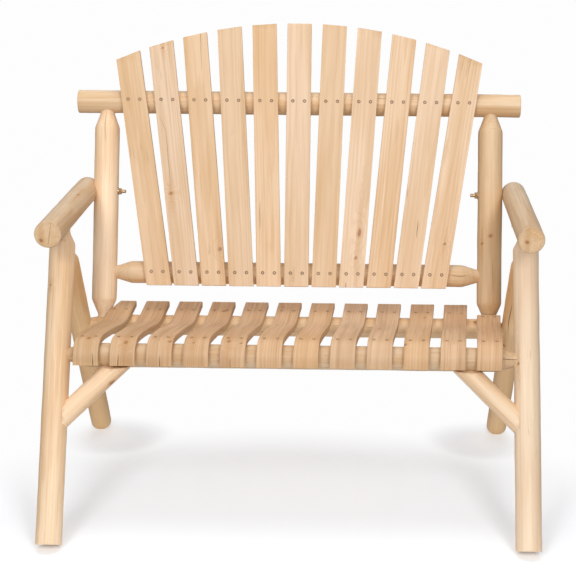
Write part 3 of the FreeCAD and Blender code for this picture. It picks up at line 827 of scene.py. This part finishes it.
# %% Places along the curve
path = np.array([(s[0], s[1]) for s in stations])
lengths = np.concatenate(((0,), np.cumsum(np.linalg.norm(np.diff(path, axis=0), axis=1))))


def along_curve(piece, middle_x):
    points = points_of(piece)
    best, places = np.full(len(points), 9.0), np.zeros((len(points), 3))
    for i in range(len(path) - 1):
        edge = path[i + 1] - path[i]
        t = np.clip((points[:, 1:] - path[i]) @ edge / (edge @ edge), 0, 1)
        offset = points[:, 1:] - (path[i] + t[:, None] * edge)
        away = np.linalg.norm(offset, axis=1)
        side = (edge[0] * offset[:, 1] - edge[1] * offset[:, 0]) / np.linalg.norm(edge)
        near = away < best
        best[near] = away[near]
        places[near, 1] = side[near]
        places[near, 2] = (lengths[i] + t * (lengths[i + 1] - lengths[i]))[near]
    places[:, 0] = points[:, 0] - middle_x - skew * (points[:, 1] - front_edge)
    return places


print("a seat slat is", round(float(lengths[-1]), 3), "m long on its curve")

# %% [markdown]
# Fitting the outer seat slats
#
# The left slat runs into the foot of its back post. It could simply pass through it, but that would
# show as a hard line, so the slat is hollowed out round the post with a tapered bit, and its rear
# corner beside the post is sawn off. The right slat is short and ends before its post.

# %% Hollowing and shortening
hollow_height, hollow_low, hollow_high = 0.060, 0.0087, 0.0357
hollow_start, post_gap = 0.010, 0.009
corner_place, corner_way = Vector((-0.431, 0.119, 0.388)), Vector((-0.94, 0.34, 0))


def hollow_for_post(slat):
    lay_aside()
    foot = rear_rail - RIGHT * half_posts + back_up * hollow_start
    bpy.ops.mesh.primitive_cone_add(
        vertices=DRILL_SIDES, radius1=hollow_low, radius2=hollow_high, depth=hollow_height,
        location=foot + back_up * hollow_height / 2, rotation=upright_to(back_up))
    cut_out(slat, bpy.context.object)
    saw_off(slat, corner_place, corner_way)


def shorten_at_post(slat):
    saw_off(slat, rear_rail - BACK * post_gap, BACK)


print("the hollow widens from", hollow_low * 2, "to", hollow_high * 2, "m")

# %% [markdown]
# Making the seat slats
#
# All twelve slats follow the same stations, so one copied slat would do. But the free ends of some
# have dried and split a little, and each board has its own knots and paleness. So each is drawn on its
# own and then made uneven, and a little chance is added to its tone.

# %% Seat slats
SEAT_PITCH = 0.078
SEAT_SHIFT = 0.009
END_TOUCH = 0.0006
SEAT_DEPTH, SEAT_SPREAD = 0.0009, 0.045
seat_marks = {
    1: {"split": (TOP_FACE, ((-0.02, 0.017), (0.026, 0.016))), "dark": 0.9,
        "knot_a": (TOP_FACE, 0.002, 0.056, 1.0)},
    2: {"split": (TOP_FACE, ((-0.02, -0.008), (0.024, -0.007))), "dark": 0.9,
        "knot_a": (TOP_FACE, 0.006, 0.046, 1.0), "knot_b": (TOP_FACE, 0.018, 0.173, 0.9)},
    3: {"split": (TOP_FACE, ((-0.02, 0.003), (0.022, 0.003))), "dark": 0.9,
        "knot_a": (TOP_FACE, 0.021, 0.049, 0.7)},
    4: {"knot_a": (TOP_FACE, 0.008, 0.355, 0.9), "knot_b": (TOP_FACE, -0.006, 0.047, 0.8)},
    5: {"split": (TOP_FACE, ((-0.02, -0.004), (0.020, -0.003))), "dark": 0.7,
        "knot_a": (TOP_FACE, -0.010, 0.052, 0.9), "knot_b": (TOP_FACE, 0.017, 0.047, 0.8)},
    6: {"knot_b": (TOP_FACE, -0.013, 0.378, 0.7)},
    9: {"knot_a": (TOP_FACE, -0.010, 0.21, 1.5)},
    10: {"knot_a": (TOP_FACE, -0.025, 0.049, 0.8), "knot_b": (TOP_FACE, 0.008, 0.335, 1.0)}}
seat_paleness = {1: -0.8, 2: -0.2, 3: -0.2, 4: -0.3, 7: 0.3, 8: -0.4, 12: 0.3}
seat_slats = []
for number in range(SEAT_COUNT):
    middle_x = SEAT_PITCH * (number - (SEAT_COUNT - 1) / 2) - SEAT_SHIFT
    slat = draw_seat_slat("seat_slat_%02d_wood" % (number + 1), middle_x)
    if number == 0:
        hollow_for_post(slat)
    if number == SEAT_COUNT - 1:
        shorten_at_post(slat)
    make_uneven(slat, SEAT_DEPTH, SEAT_SPREAD)
    places = along_curve(slat, middle_x)
    ends = (places[:, 2] < END_TOUCH) | (places[:, 2] > places[:, 2].max() - END_TOUCH)
    pith = (chance.uniform(-0.03, 0.03), chance.uniform(-0.08, -0.03))
    tone = (chance.uniform(-0.4, 0.5), chance.uniform(-0.3, 0.2) + seat_paleness.get(number + 1, 0.0))
    remember(slat, places, pith, tone, seat_marks.get(number + 1, {}), ends)
    soften_light(slat)
    seat_slats.append(slat)
print("seat slats", len(seat_slats), "with", len(seat_slats[0].data.polygons), "faces each")

# %% [markdown]
# Working with shader nodes
#
# Every wooden piece shows the same few things: growth rings, fibres, knots, cracks and end grain.
# Wiring them by hand for each material would repeat hundreds of nodes. So a short helper places a
# node, sets its values and joins its inputs, and plain words stand for the sums that are used most.

# %% Nodes and sums
def feed(tree, socket, value):
    if hasattr(value, "is_linked"):
        tree.links.new(value, socket)
    else:
        socket.default_value = value


def node(tree, kind, values=None, **settings):
    made = tree.nodes.new("ShaderNode" + kind)
    for name, value in settings.items():
        setattr(made, name, value)
    for name, value in (values or {}).items():
        feed(tree, made.inputs[name], value)
    return made


def maths(tree, operation, *values, clamp=False):
    return node(tree, "Math", dict(enumerate(values)), operation=operation, use_clamp=clamp).outputs[0]


def plus(tree, first, second):
    return maths(tree, "ADD", first, second)


def minus(tree, first, second, clamp=False):
    return maths(tree, "SUBTRACT", first, second, clamp=clamp)


def times(tree, first, second):
    return maths(tree, "MULTIPLY", first, second)


def step_between(tree, value, low, high, to_low=0.0, to_high=1.0):
    values = dict(enumerate((value, low, high, to_low, to_high)))
    return node(tree, "MapRange", values, interpolation_type="SMOOTHSTEP").outputs[0]


def split_up(tree, vector):
    return node(tree, "SeparateXYZ", {0: vector}).outputs


print("a new world or material is wired with node, feed, plus, minus, times and step_between")

# %% [markdown]
# Distances and noise
#
# Two patterns come back in every wooden surface and in the floor: how far a spot is from a line or a
# point, and noise that is stretched along one direction. The noise node has a single scale for all
# directions, so the place is stretched before it goes in.

# %% Distance and stretched noise
def length_of(tree, *numbers):
    vector = node(tree, "CombineXYZ", dict(enumerate(numbers))).outputs[0]
    return node(tree, "VectorMath", {0: vector}, operation="LENGTH").outputs["Value"]


def noise(tree, vector, scale, detail=2.0, rough=0.5):
    wide = node(tree, "VectorMath", {0: vector, 1: scale}, operation="MULTIPLY").outputs[0]
    values = {"Vector": wide, "Scale": 1.0, "Detail": detail, "Roughness": rough}
    return node(tree, "TexNoise", values).outputs["Fac"]


print("node groups so far", len(bpy.data.node_groups))

# %% [markdown]
# Shader groups
#
# What several materials share is a node group that is built once. The group gives only masks and
# patterns, and each material decides what colour they get and how strongly they show.

# %% An empty group with named inputs and outputs
def new_group(name, inputs, outputs):
    tree = bpy.data.node_groups.new(name, "ShaderNodeTree")
    for label, kind, value in inputs:
        socket = tree.interface.new_socket(name=label, in_out="INPUT", socket_type="NodeSocket" + kind)
        if value is not None:
            socket.default_value = value
    for label in outputs:
        tree.interface.new_socket(name=label, in_out="OUTPUT", socket_type="NodeSocketFloat")
    start, end = tree.nodes.new("NodeGroupInput"), tree.nodes.new("NodeGroupOutput")
    return tree, start.outputs, end.inputs


def hand_out(tree, made, **masks):
    for label, mask in masks.items():
        tree.links.new(mask, made[label])
    print(tree.name, "has", len(tree.nodes), "nodes and gives", ", ".join(masks))


print("materials so far", [material.name for material in bpy.data.materials])

# %% [markdown]
# Growth rings and fibres
#
# A tree adds a pale and a darker layer each year. On end grain they are rings. Along a peeled log the
# surface nearly follows one ring, and where it dips through others they show as long loops. A wave
# pattern would give straight stripes, so the distance from the pith is taken instead, made to wander
# slowly along the log, and folded into rings. Fine fibres are noise that is stretched along the grain.

# %% Group: rings and fibres
rings_tree, given, made = new_group(
    "wood_rings",
    (("Place", "Vector", None), ("Ring Width", "Float", 0.003), ("Wander", "Float", 0.006),
     ("Swirl", "Float", 0.0)),
    ("Rings", "Streaks", "Fibres", "Clouds"))
tree, place = rings_tree, given["Place"]
apart = split_up(tree, place)
distance = length_of(tree, apart[0], apart[1])
wander = times(tree, minus(tree, noise(tree, place, (22, 22, 2.6), 3.0), 0.5), given["Wander"])
grown = plus(tree, plus(tree, distance, wander), given["Swirl"])
fold = maths(tree, "FRACT", maths(tree, "DIVIDE", grown, given["Ring Width"]))
late = step_between(tree, fold, 0.35, 0.86)
sharp = step_between(tree, fold, 0.90, 1.0)
hand_out(tree, made,
         Rings=minus(tree, late, sharp, clamp=True),
         Streaks=noise(tree, place, (210, 210, 5), 4.0, 0.6),
         Fibres=noise(tree, place, (1400, 1400, 28)),
         Clouds=noise(tree, place, (26, 26, 3)))

# %% [markdown]
# Knots
#
# A knot is the foot of a branch: a dark rim round a brown core, and the grain swells round it and
# darkens before and behind it. A round spot alone would look like a dot of paint, so the distance to
# the knot's middle is made a little ragged, and the flare along the grain has a distance of its own.

# %% Group: knot
knot_tree, given, made = new_group(
    "wood_knot", (("Mark", "Vector", None), ("Size", "Float", 0.006)), ("Core", "Rim", "Swirl"))
tree, size = knot_tree, given["Size"]
ragged = minus(tree, noise(tree, given["Mark"], (260, 200, 100), 3.0), 0.5)
apart = split_up(tree, given["Mark"])
distance = plus(tree, length_of(tree, apart[0], apart[1]), times(tree, ragged, 0.006))
share = maths(tree, "DIVIDE", distance, size)
near = step_between(tree, maths(tree, "ABSOLUTE", apart[2]), 0.030, 0.018)
core = times(tree, step_between(tree, share, 1.0, 0.5), near)
rim = minus(tree, step_between(tree, share, 2.0, 0.8), core, clamp=True)
long_distance = length_of(tree, apart[0], times(tree, apart[1], 0.14))
long_distance = plus(tree, long_distance, times(tree, ragged, 0.010))
flare = step_between(tree, maths(tree, "DIVIDE", long_distance, size), 2.2, 0.2, 0.0, 0.7)
hand_out(tree, made,
         Core=core,
         Rim=times(tree, maths(tree, "MAXIMUM", rim, flare), near),
         Swirl=times(tree, step_between(tree, share, 5.0, 0.4), 0.010))

# %% [markdown]
# Cracks
#
# Wood cracks along its fibres as it dries. Cutting each crack into the mesh would need very small faces,
# and a crack is only a dark line with a slight dip. So one long crack per piece is given as a mask, and a
# few short hair cracks come from stretched noise, where two slow patterns happen to meet.

# %% Group: cracks
crack_tree, given, made = new_group(
    "wood_cracks", (("Mark", "Vector", None), ("Place", "Vector", None), ("Width", "Float", 0.0008)),
    ("Crack", "Hairs"))
tree, place = crack_tree, given["Place"]
apart = split_up(tree, given["Mark"])
waver = times(tree, minus(tree, noise(tree, place, (2, 2, 26), 3.0), 0.5), 0.004)
side = maths(tree, "ABSOLUTE", plus(tree, apart[0], waver))
taper = minus(tree, 1.0, maths(tree, "POWER", apart[1], 2.0), clamp=True)
line = step_between(tree, minus(tree, side, times(tree, taper, given["Width"])), 0.0003, -0.0002)
near = step_between(tree, maths(tree, "ABSOLUTE", apart[2]), 0.02, 0.012)
inside = maths(tree, "GREATER_THAN", taper, 0.001)
meeting = maths(tree, "ABSOLUTE", minus(tree, noise(tree, place, (160, 160, 2.2), 1.0), 0.5))
rare = step_between(tree, noise(tree, place, (24, 24, 9), 1.0), 0.66, 0.72)
hand_out(tree, made,
         Crack=times(tree, times(tree, line, near), inside),
         Hairs=times(tree, step_between(tree, meeting, 0.012, 0.002), rare))

# %% [markdown]
# What a wooden surface shows
#
# The material needs all masks of its piece at once. They could be read where each is used, but then
# the recipe for the colour would be hard to follow. So they are collected first, under plain names.

# %% Masks of one material
KNOT_SIZES = (("knot_a", 0.0052), ("knot_b", 0.0034))


def attribute(tree, name):
    return node(tree, "Attribute", attribute_name=name).outputs


def placed(tree, group, values):
    return node(tree, "Group", values, node_tree=group).outputs


def wood_masks(tree, ring_width, wander):
    place = attribute(tree, "grain")["Vector"]
    first, second = (placed(tree, knot_tree, {"Mark": attribute(tree, field)["Vector"], "Size": size})
                     for field, size in KNOT_SIZES)
    swirl = plus(tree, first["Swirl"], second["Swirl"])
    rings = placed(tree, rings_tree, {
        "Place": place, "Ring Width": ring_width, "Wander": wander, "Swirl": swirl})
    cracks = placed(tree, crack_tree, {"Mark": attribute(tree, "split")["Vector"], "Place": place})
    tone = split_up(tree, attribute(tree, "tone")["Vector"])
    masks = {label: rings[label] for label in ("Rings", "Streaks", "Fibres", "Clouds")}
    masks.update(
        core=maths(tree, "MAXIMUM", first["Core"], second["Core"]),
        rim=maths(tree, "MAXIMUM", first["Rim"], second["Rim"]), hairs=cracks["Hairs"],
        crack=times(tree, cracks["Crack"], tone[2]), warm=times(tree, tone[0], 0.5), pale=tone[1],
        end=attribute(tree, "sawn_end")["Fac"])
    return masks


print("knot sizes in mm", [size * 1000 for field, size in KNOT_SIZES])

# %% [markdown]
# The colour of bare wood
#
# Peeled softwood is pale and honey coloured. A single flat colour would look like plastic, and a
# picture of wood would repeat. So the colour is laid on in thin coats, one mask after the other: the
# slow change from pale to honey, the rings, the streaks, then what makes this piece warmer, rosier or
# paler, and last the sawn ends, knots and cracks.

# %% Coats of colour
WARM_WOOD, ROSY_WOOD, END_WOOD = (0.76, 0.50, 0.25), (0.86, 0.70, 0.54), (0.62, 0.40, 0.21)
KNOT_RIM, KNOT_CORE = (0.53, 0.28, 0.11), (0.33, 0.14, 0.05)
HAIR_CRACK, OPEN_CRACK = (0.36, 0.18, 0.08), (0.12, 0.05, 0.02)


def mixed(tree, share, first, second, kind="MIX"):
    colours = [value if hasattr(value, "is_linked") else (*value, 1.0) for value in (first, second)]
    values = {0: share, 6: colours[0], 7: colours[1]}
    return node(tree, "Mix", values, data_type="RGBA", blend_type=kind).outputs[2]


def wood_colour(tree, masks, pale, honey, dark, ring_share, streak_share):
    end, streaks = masks["end"], masks["Streaks"]
    lighter = tuple(min(value * 1.12, 0.9) for value in pale)
    colour = mixed(tree, step_between(tree, masks["Clouds"], 0.35, 0.68), pale, honey)
    rings = times(tree, masks["Rings"], plus(tree, ring_share, times(tree, end, 0.30)))
    cold = maths(tree, "MAXIMUM", times(tree, masks["warm"], -1.0), 0.0)
    for share, coat in (
            (rings, dark), (step_between(tree, streaks, 0.50, 0.74, 0.0, streak_share), dark),
            (step_between(tree, streaks, 0.46, 0.28, 0.0, streak_share), lighter),
            (maths(tree, "MAXIMUM", masks["warm"], 0.0), WARM_WOOD), (cold, ROSY_WOOD)):
        colour = mixed(tree, share, colour, coat)
    # Paleness brightens or darkens the whole piece; on the front seat rail the darkening is painted shade
    # from the seat slats.
    paler = times(tree, times(tree, masks["pale"], 0.16), minus(tree, 1.0, end))
    bright = plus(tree, 1.0, paler)
    grey = node(tree, "CombineColor", {0: bright, 1: bright, 2: bright}).outputs[0]
    colour = mixed(tree, 1.0, colour, grey, "MULTIPLY")
    for mask, share, coat in (
            ("end", 0.25, END_WOOD), ("rim", 0.65, KNOT_RIM), ("core", 0.85, KNOT_CORE),
            ("hairs", 0.45, HAIR_CRACK)):
        colour = mixed(tree, times(tree, masks[mask], share), colour, coat)
    return mixed(tree, masks["crack"], colour, OPEN_CRACK)


print("coats over the pale ground: honey, rings, streaks, warmth, sawn ends, knots, cracks")

# %% [markdown]
# The three woods of the bench
#
# Bare wood has little shine, and its dark streaks and sawn ends have the least. The relief could be
# one noise, but a hand feels the fibres stand up, the rings and cracks sink in and the knots stay
# proud, so these are added up as heights. All wooden parts share this recipe. The logs, the back
# slats and the seat slats only differ in how pale they are, how wide their rings show and how
# strongly the streaks stand out.

# %% Recipe for bare wood
def new_material(name):
    material = bpy.data.materials.new(name)
    material.use_nodes = True
    return material, material.node_tree, material.node_tree.nodes["Principled BSDF"].inputs


def bare_wood(name, pale, honey, dark, ring_width, wander, ring_share, streak_share):
    material, tree, surface = new_material(name)
    masks = wood_masks(tree, ring_width, wander)
    colour = wood_colour(tree, masks, pale, honey, dark, ring_share, streak_share)
    tree.links.new(colour, surface["Base Color"])
    rough = step_between(tree, masks["Streaks"], 0.2, 0.8, 0.46, 0.62)
    tree.links.new(plus(tree, rough, times(tree, masks["end"], 0.2)), surface["Roughness"])
    height = times(tree, masks["Fibres"], 0.35)
    for mask, share in (
            ("Streaks", 0.8), ("Rings", -0.25), ("crack", -3.0), ("hairs", -1.2), ("core", 0.6)):
        height = plus(tree, height, times(tree, masks[mask], share))
    relief = node(tree, "Bump", {"Height": height, "Distance": 0.0005, "Strength": 0.5})
    tree.links.new(relief.outputs["Normal"], surface["Normal"])
    print(name, "has", len(tree.nodes), "nodes")
    return material


log_wood = bare_wood(
    "peeled_log", (0.82, 0.62, 0.42), (0.72, 0.47, 0.26), (0.58, 0.33, 0.15),
    ring_width=0.0030, wander=0.008, ring_share=0.18, streak_share=0.62)
back_wood = bare_wood(
    "back_slat_wood", (0.75, 0.54, 0.36), (0.67, 0.44, 0.25), (0.52, 0.29, 0.12),
    ring_width=0.0042, wander=0.010, ring_share=0.28, streak_share=0.40)
seat_wood = bare_wood(
    "seat_slat_wood", (0.71, 0.46, 0.265), (0.60, 0.36, 0.185), (0.40, 0.205, 0.085),
    ring_width=0.0038, wander=0.010, ring_share=0.24, streak_share=0.56)

# %% [markdown]
# Metal
#
# The screws of the back have a dull, dark coat, and those of the seat are paler. The armrest bolts are
# plated a warm yellow, and the nails are plain steel. Fully metallic screws would turn black or white
# with what they mirror, so their coats stay mostly dull. Bolts and nails mirror more, and all detail goes
# into the roughness and a faint mottling, which all four share as a group.

# %% Group: mottling
mottle_tree, given, made = new_group(
    "metal_mottle", (("Place", "Vector", None), ("Scale", "Float", 900.0)), ("Mottle",))
mottled = node(mottle_tree, "TexNoise", {
    "Vector": given["Place"], "Scale": given["Scale"], "Detail": 4.0, "Roughness": 0.65})
hand_out(mottle_tree, made, Mottle=mottled.outputs["Fac"])

# %% [markdown]
# Four metal finishes
#
# Each finish has a light and a dark colour and a roughness that follows the mottling. Four materials
# could be wired one by one, but then every change would have to be made four times. So one recipe
# makes them all from a few numbers.

# %% Recipe for small metal parts
def small_metal(name, light, dark, scale, rough_low, rough_high, metallic):
    material, tree, surface = new_material(name)
    place = node(tree, "TexCoord").outputs["Object"]
    mottle = placed(tree, mottle_tree, {"Place": place, "Scale": scale})["Mottle"]
    colour = mixed(tree, step_between(tree, mottle, 0.38, 0.66), dark, light)
    tree.links.new(colour, surface["Base Color"])
    tree.links.new(step_between(tree, mottle, 0.3, 0.7, rough_high, rough_low), surface["Roughness"])
    surface["Metallic"].default_value = metallic
    relief = node(tree, "Bump", {"Height": mottle, "Distance": 0.0002, "Strength": 0.4})
    tree.links.new(relief.outputs["Normal"], surface["Normal"])
    return material


finishes = {
    "dark_screws": small_metal(
        "dark_screws", (0.30, 0.18, 0.10), (0.13, 0.07, 0.035), 900, 0.34, 0.54, 0.3),
    "seat_slat_screws": small_metal(
        "paler_seat_screws", (0.52, 0.33, 0.19), (0.36, 0.21, 0.11), 900, 0.40, 0.60, 0.1),
    "plain_steel": small_metal(
        "plain_steel", (0.60, 0.58, 0.55), (0.38, 0.36, 0.34), 900, 0.30, 0.50, 0.9),
    "plated_bolts": small_metal(
        "plated_bolts", (0.62, 0.44, 0.27), (0.38, 0.25, 0.14), 500, 0.28, 0.48, 0.8)}
print("metal finishes", list(finishes))

# %% [markdown]
# Giving each piece its finish and its place in the frame
#
# Each new piece gets its wooden finish and rides on the frame's body, and the node that it was modelled
# over is hidden. The fasteners could be modelled again too, but their shapes are already exact, so they
# stay as they are and only get their finish: the one named after the node if there is one, or else the
# one of its material slot.

# %% Finishes
def finish_piece(piece, material, nodes):
    piece.data.materials.clear()
    piece.data.materials.append(material)
    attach(piece, "root")
    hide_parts(*nodes)


for name, log in logs.items():
    finish_piece(log, log_wood, (name,))
for number, slat in enumerate(back_slats):
    finish_piece(slat, back_wood, ("back_slat_%02d" % (number + 1),))
for number, slat in enumerate(seat_slats):
    finish_piece(slat, seat_wood, ("seat_slat_%02d" % (number + 1),))
for entry in frame["record"]["subparts"]:
    finish = finishes.get(entry["node"], finishes.get(entry["material_slot"]))
    if finish:
        for held in frame["nodes"][entry["node"]].material_slots:
            held.material = finish
        print(entry["node"], "is finished with", finish.name)

# %% [markdown]
# The studio floor
#
# The bench stands on white paper that glows by itself: no lamp stands behind it, the glow is painted into
# the paper, and the shadows stay pale. Paper that only takes the light of the lamps would turn grey
# towards the horizon. So it does that just in an oval round the bench and in a small patch at each rear
# foot, and farther out it only glows evenly. Its glow also lights the bench from below as a painted
# bounce light, weaker than what the camera sees and a little warm, so that the undersides of the logs
# don't turn cold.

# %% White floor
PAPER, NO_PAPER = (0.865, 0.90, 0.94), (0.0, 0.0, 0.0)
WARM_GLOW, WHITE_GLOW = (1.0, 0.90, 0.78), (1.0, 1.0, 1.0)
oval_y, patch_x, patch_y = 0.20, 0.455, 0.27
near_glow, more_glow, weak_share = 0.19, 0.795, 0.40

lay_aside()
bpy.ops.mesh.primitive_plane_add(size=60, location=(0, 0, 0))
floor = name_new("studio_floor")
paper, tree, surface = new_material("studio_paper")
surface["Roughness"].default_value = 1.0
surface["Specular IOR Level"].default_value = 0.0
apart = split_up(tree, node(tree, "TexCoord").outputs["Object"])
oval = length_of(tree, apart[0], times(tree, plus(tree, apart[1], oval_y), 1.6))
patch_side = minus(tree, maths(tree, "ABSOLUTE", apart[0]), patch_x)
patch = length_of(tree, patch_side, minus(tree, apart[1], patch_y))
far_share = maths(
    tree, "MINIMUM", step_between(tree, oval, 0.56, 0.93), step_between(tree, patch, 0.05, 0.17))
tree.links.new(mixed(tree, far_share, PAPER, NO_PAPER), surface["Base Color"])
# The glow is painted light: the camera sees it white, and all other rays get a weaker, warm glow that
# lights the bench from below.
seen = node(tree, "LightPath").outputs["Is Camera Ray"]
tree.links.new(mixed(tree, seen, WARM_GLOW, WHITE_GLOW), surface["Emission Color"])
glow = plus(tree, near_glow, times(tree, far_share, more_glow))
glow_share = plus(tree, weak_share, times(tree, seen, 1.0 - weak_share))
tree.links.new(times(tree, glow, glow_share), surface["Emission Strength"])
floor.data.materials.append(paper)
print("the paper is", floor.dimensions.x, "m wide")

# %% [markdown]
# The air of the studio
#
# A white room gives a little light from all round. If it came evenly from everywhere, round logs
# would look flat, so it grows weaker towards the left and right, where a studio has dark screens, and
# the sides of the logs turn darker. The background that the camera sees stays white.

# %% White air
AIR_STRENGTH, SIDE_DIMMING, SEEN_WHITE = 0.89, 0.80, 0.985
world = bpy.data.worlds.new("studio_air")
bpy.context.scene.world = world
world.use_nodes = True
tree = world.node_tree
air = tree.nodes["Background"]
air.inputs["Color"].default_value = (1.0, 1.0, 1.0, 1.0)
direction = split_up(tree, node(tree, "TexCoord").outputs["Generated"])
dimming = times(tree, maths(tree, "ABSOLUTE", direction[0]), SIDE_DIMMING)
tree.links.new(minus(tree, AIR_STRENGTH, dimming), air.inputs["Strength"])
white = node(tree, "Background", {"Color": (1.0, 1.0, 1.0, 1.0), "Strength": SEEN_WHITE})
seen = node(tree, "LightPath").outputs["Is Camera Ray"]
both = node(tree, "MixShader", {0: seen, 1: air.outputs[0], 2: white.outputs[0]})
tree.links.new(both.outputs[0], tree.nodes["World Output"].inputs["Surface"])
print("air", AIR_STRENGTH, "in front and above,", round(AIR_STRENGTH - SIDE_DIMMING, 2), "from the sides")

# %% [markdown]
# The lamps
#
# Two soft lamps stand in front, left and right of the camera and above it, and a wide weak one hangs
# overhead. One lamp alone would lay a hard shadow beside each post. Two fill each other's shadows, and
# the third lights the seat and lays the soft shadow under it.

# %% Two soft lamps in front and one overhead
def soft_light(name, place, aim, size, watts):
    lamp = bpy.data.lights.new(name, "AREA")
    lamp.shape = "RECTANGLE"
    lamp.size, lamp.size_y = size
    lamp.energy = watts
    holder = bpy.data.objects.new(name, lamp)
    bpy.context.scene.collection.objects.link(holder)
    holder.location = place
    holder.rotation_euler = (Vector(aim) - Vector(place)).to_track_quat("-Z", "Y").to_euler()
    print(name, watts, "watts")


for name, side in SIDES:
    soft_light("front_lamp_" + name, place=(side * 1.3, -3.8, 2.5), aim=(0, 0, 0.5),
               size=(1.0, 1.0), watts=56)
soft_light("top_lamp", place=(0, 0.05, 2.7), aim=(0, 0.05, 0), size=(1.6, 1.0), watts=13)

# %% [markdown]
# The camera
#
# The photograph was taken from a little above, with a long lens. A camera could be moved about until
# the picture looks right, but then every error of the model would be hidden by it. So its place,
# direction and lens were found first, by fitting known points of the bench to where they appear.

# %% Camera
camera_place = Vector((0.1029, -3.2132, 1.4048))
turn, tip, roll = -0.0109, 0.2809, 0.0095
ahead = Vector((math.sin(turn) * math.cos(tip), math.cos(turn) * math.cos(tip), -math.sin(tip)))
sideways = Vector((math.cos(turn), -math.sin(turn), 0))
down = ahead.cross(sideways)
x_axis = sideways * math.cos(roll) - down * math.sin(roll)
y_axis = -(sideways * math.sin(roll) + down * math.cos(roll))
lens = bpy.data.cameras.new("photo_camera")
lens.lens = 93.44
lens.sensor_width = 36.0
lens.shift_x = -0.0641
lens.clip_start = 0.05
lens.clip_end = 200.0
camera = bpy.data.objects.new("photo_camera", lens)
bpy.context.scene.collection.objects.link(camera)
facing = Matrix((x_axis, y_axis, -ahead)).transposed().to_4x4()
camera.matrix_world = Matrix.Translation(camera_place) @ facing
bpy.context.scene.camera = camera
bpy.context.scene.view_settings.view_transform = "Standard"
print("camera at", [round(v, 2) for v in camera_place], "m, tipped down by",
      round(math.degrees(tip), 1), "degrees")
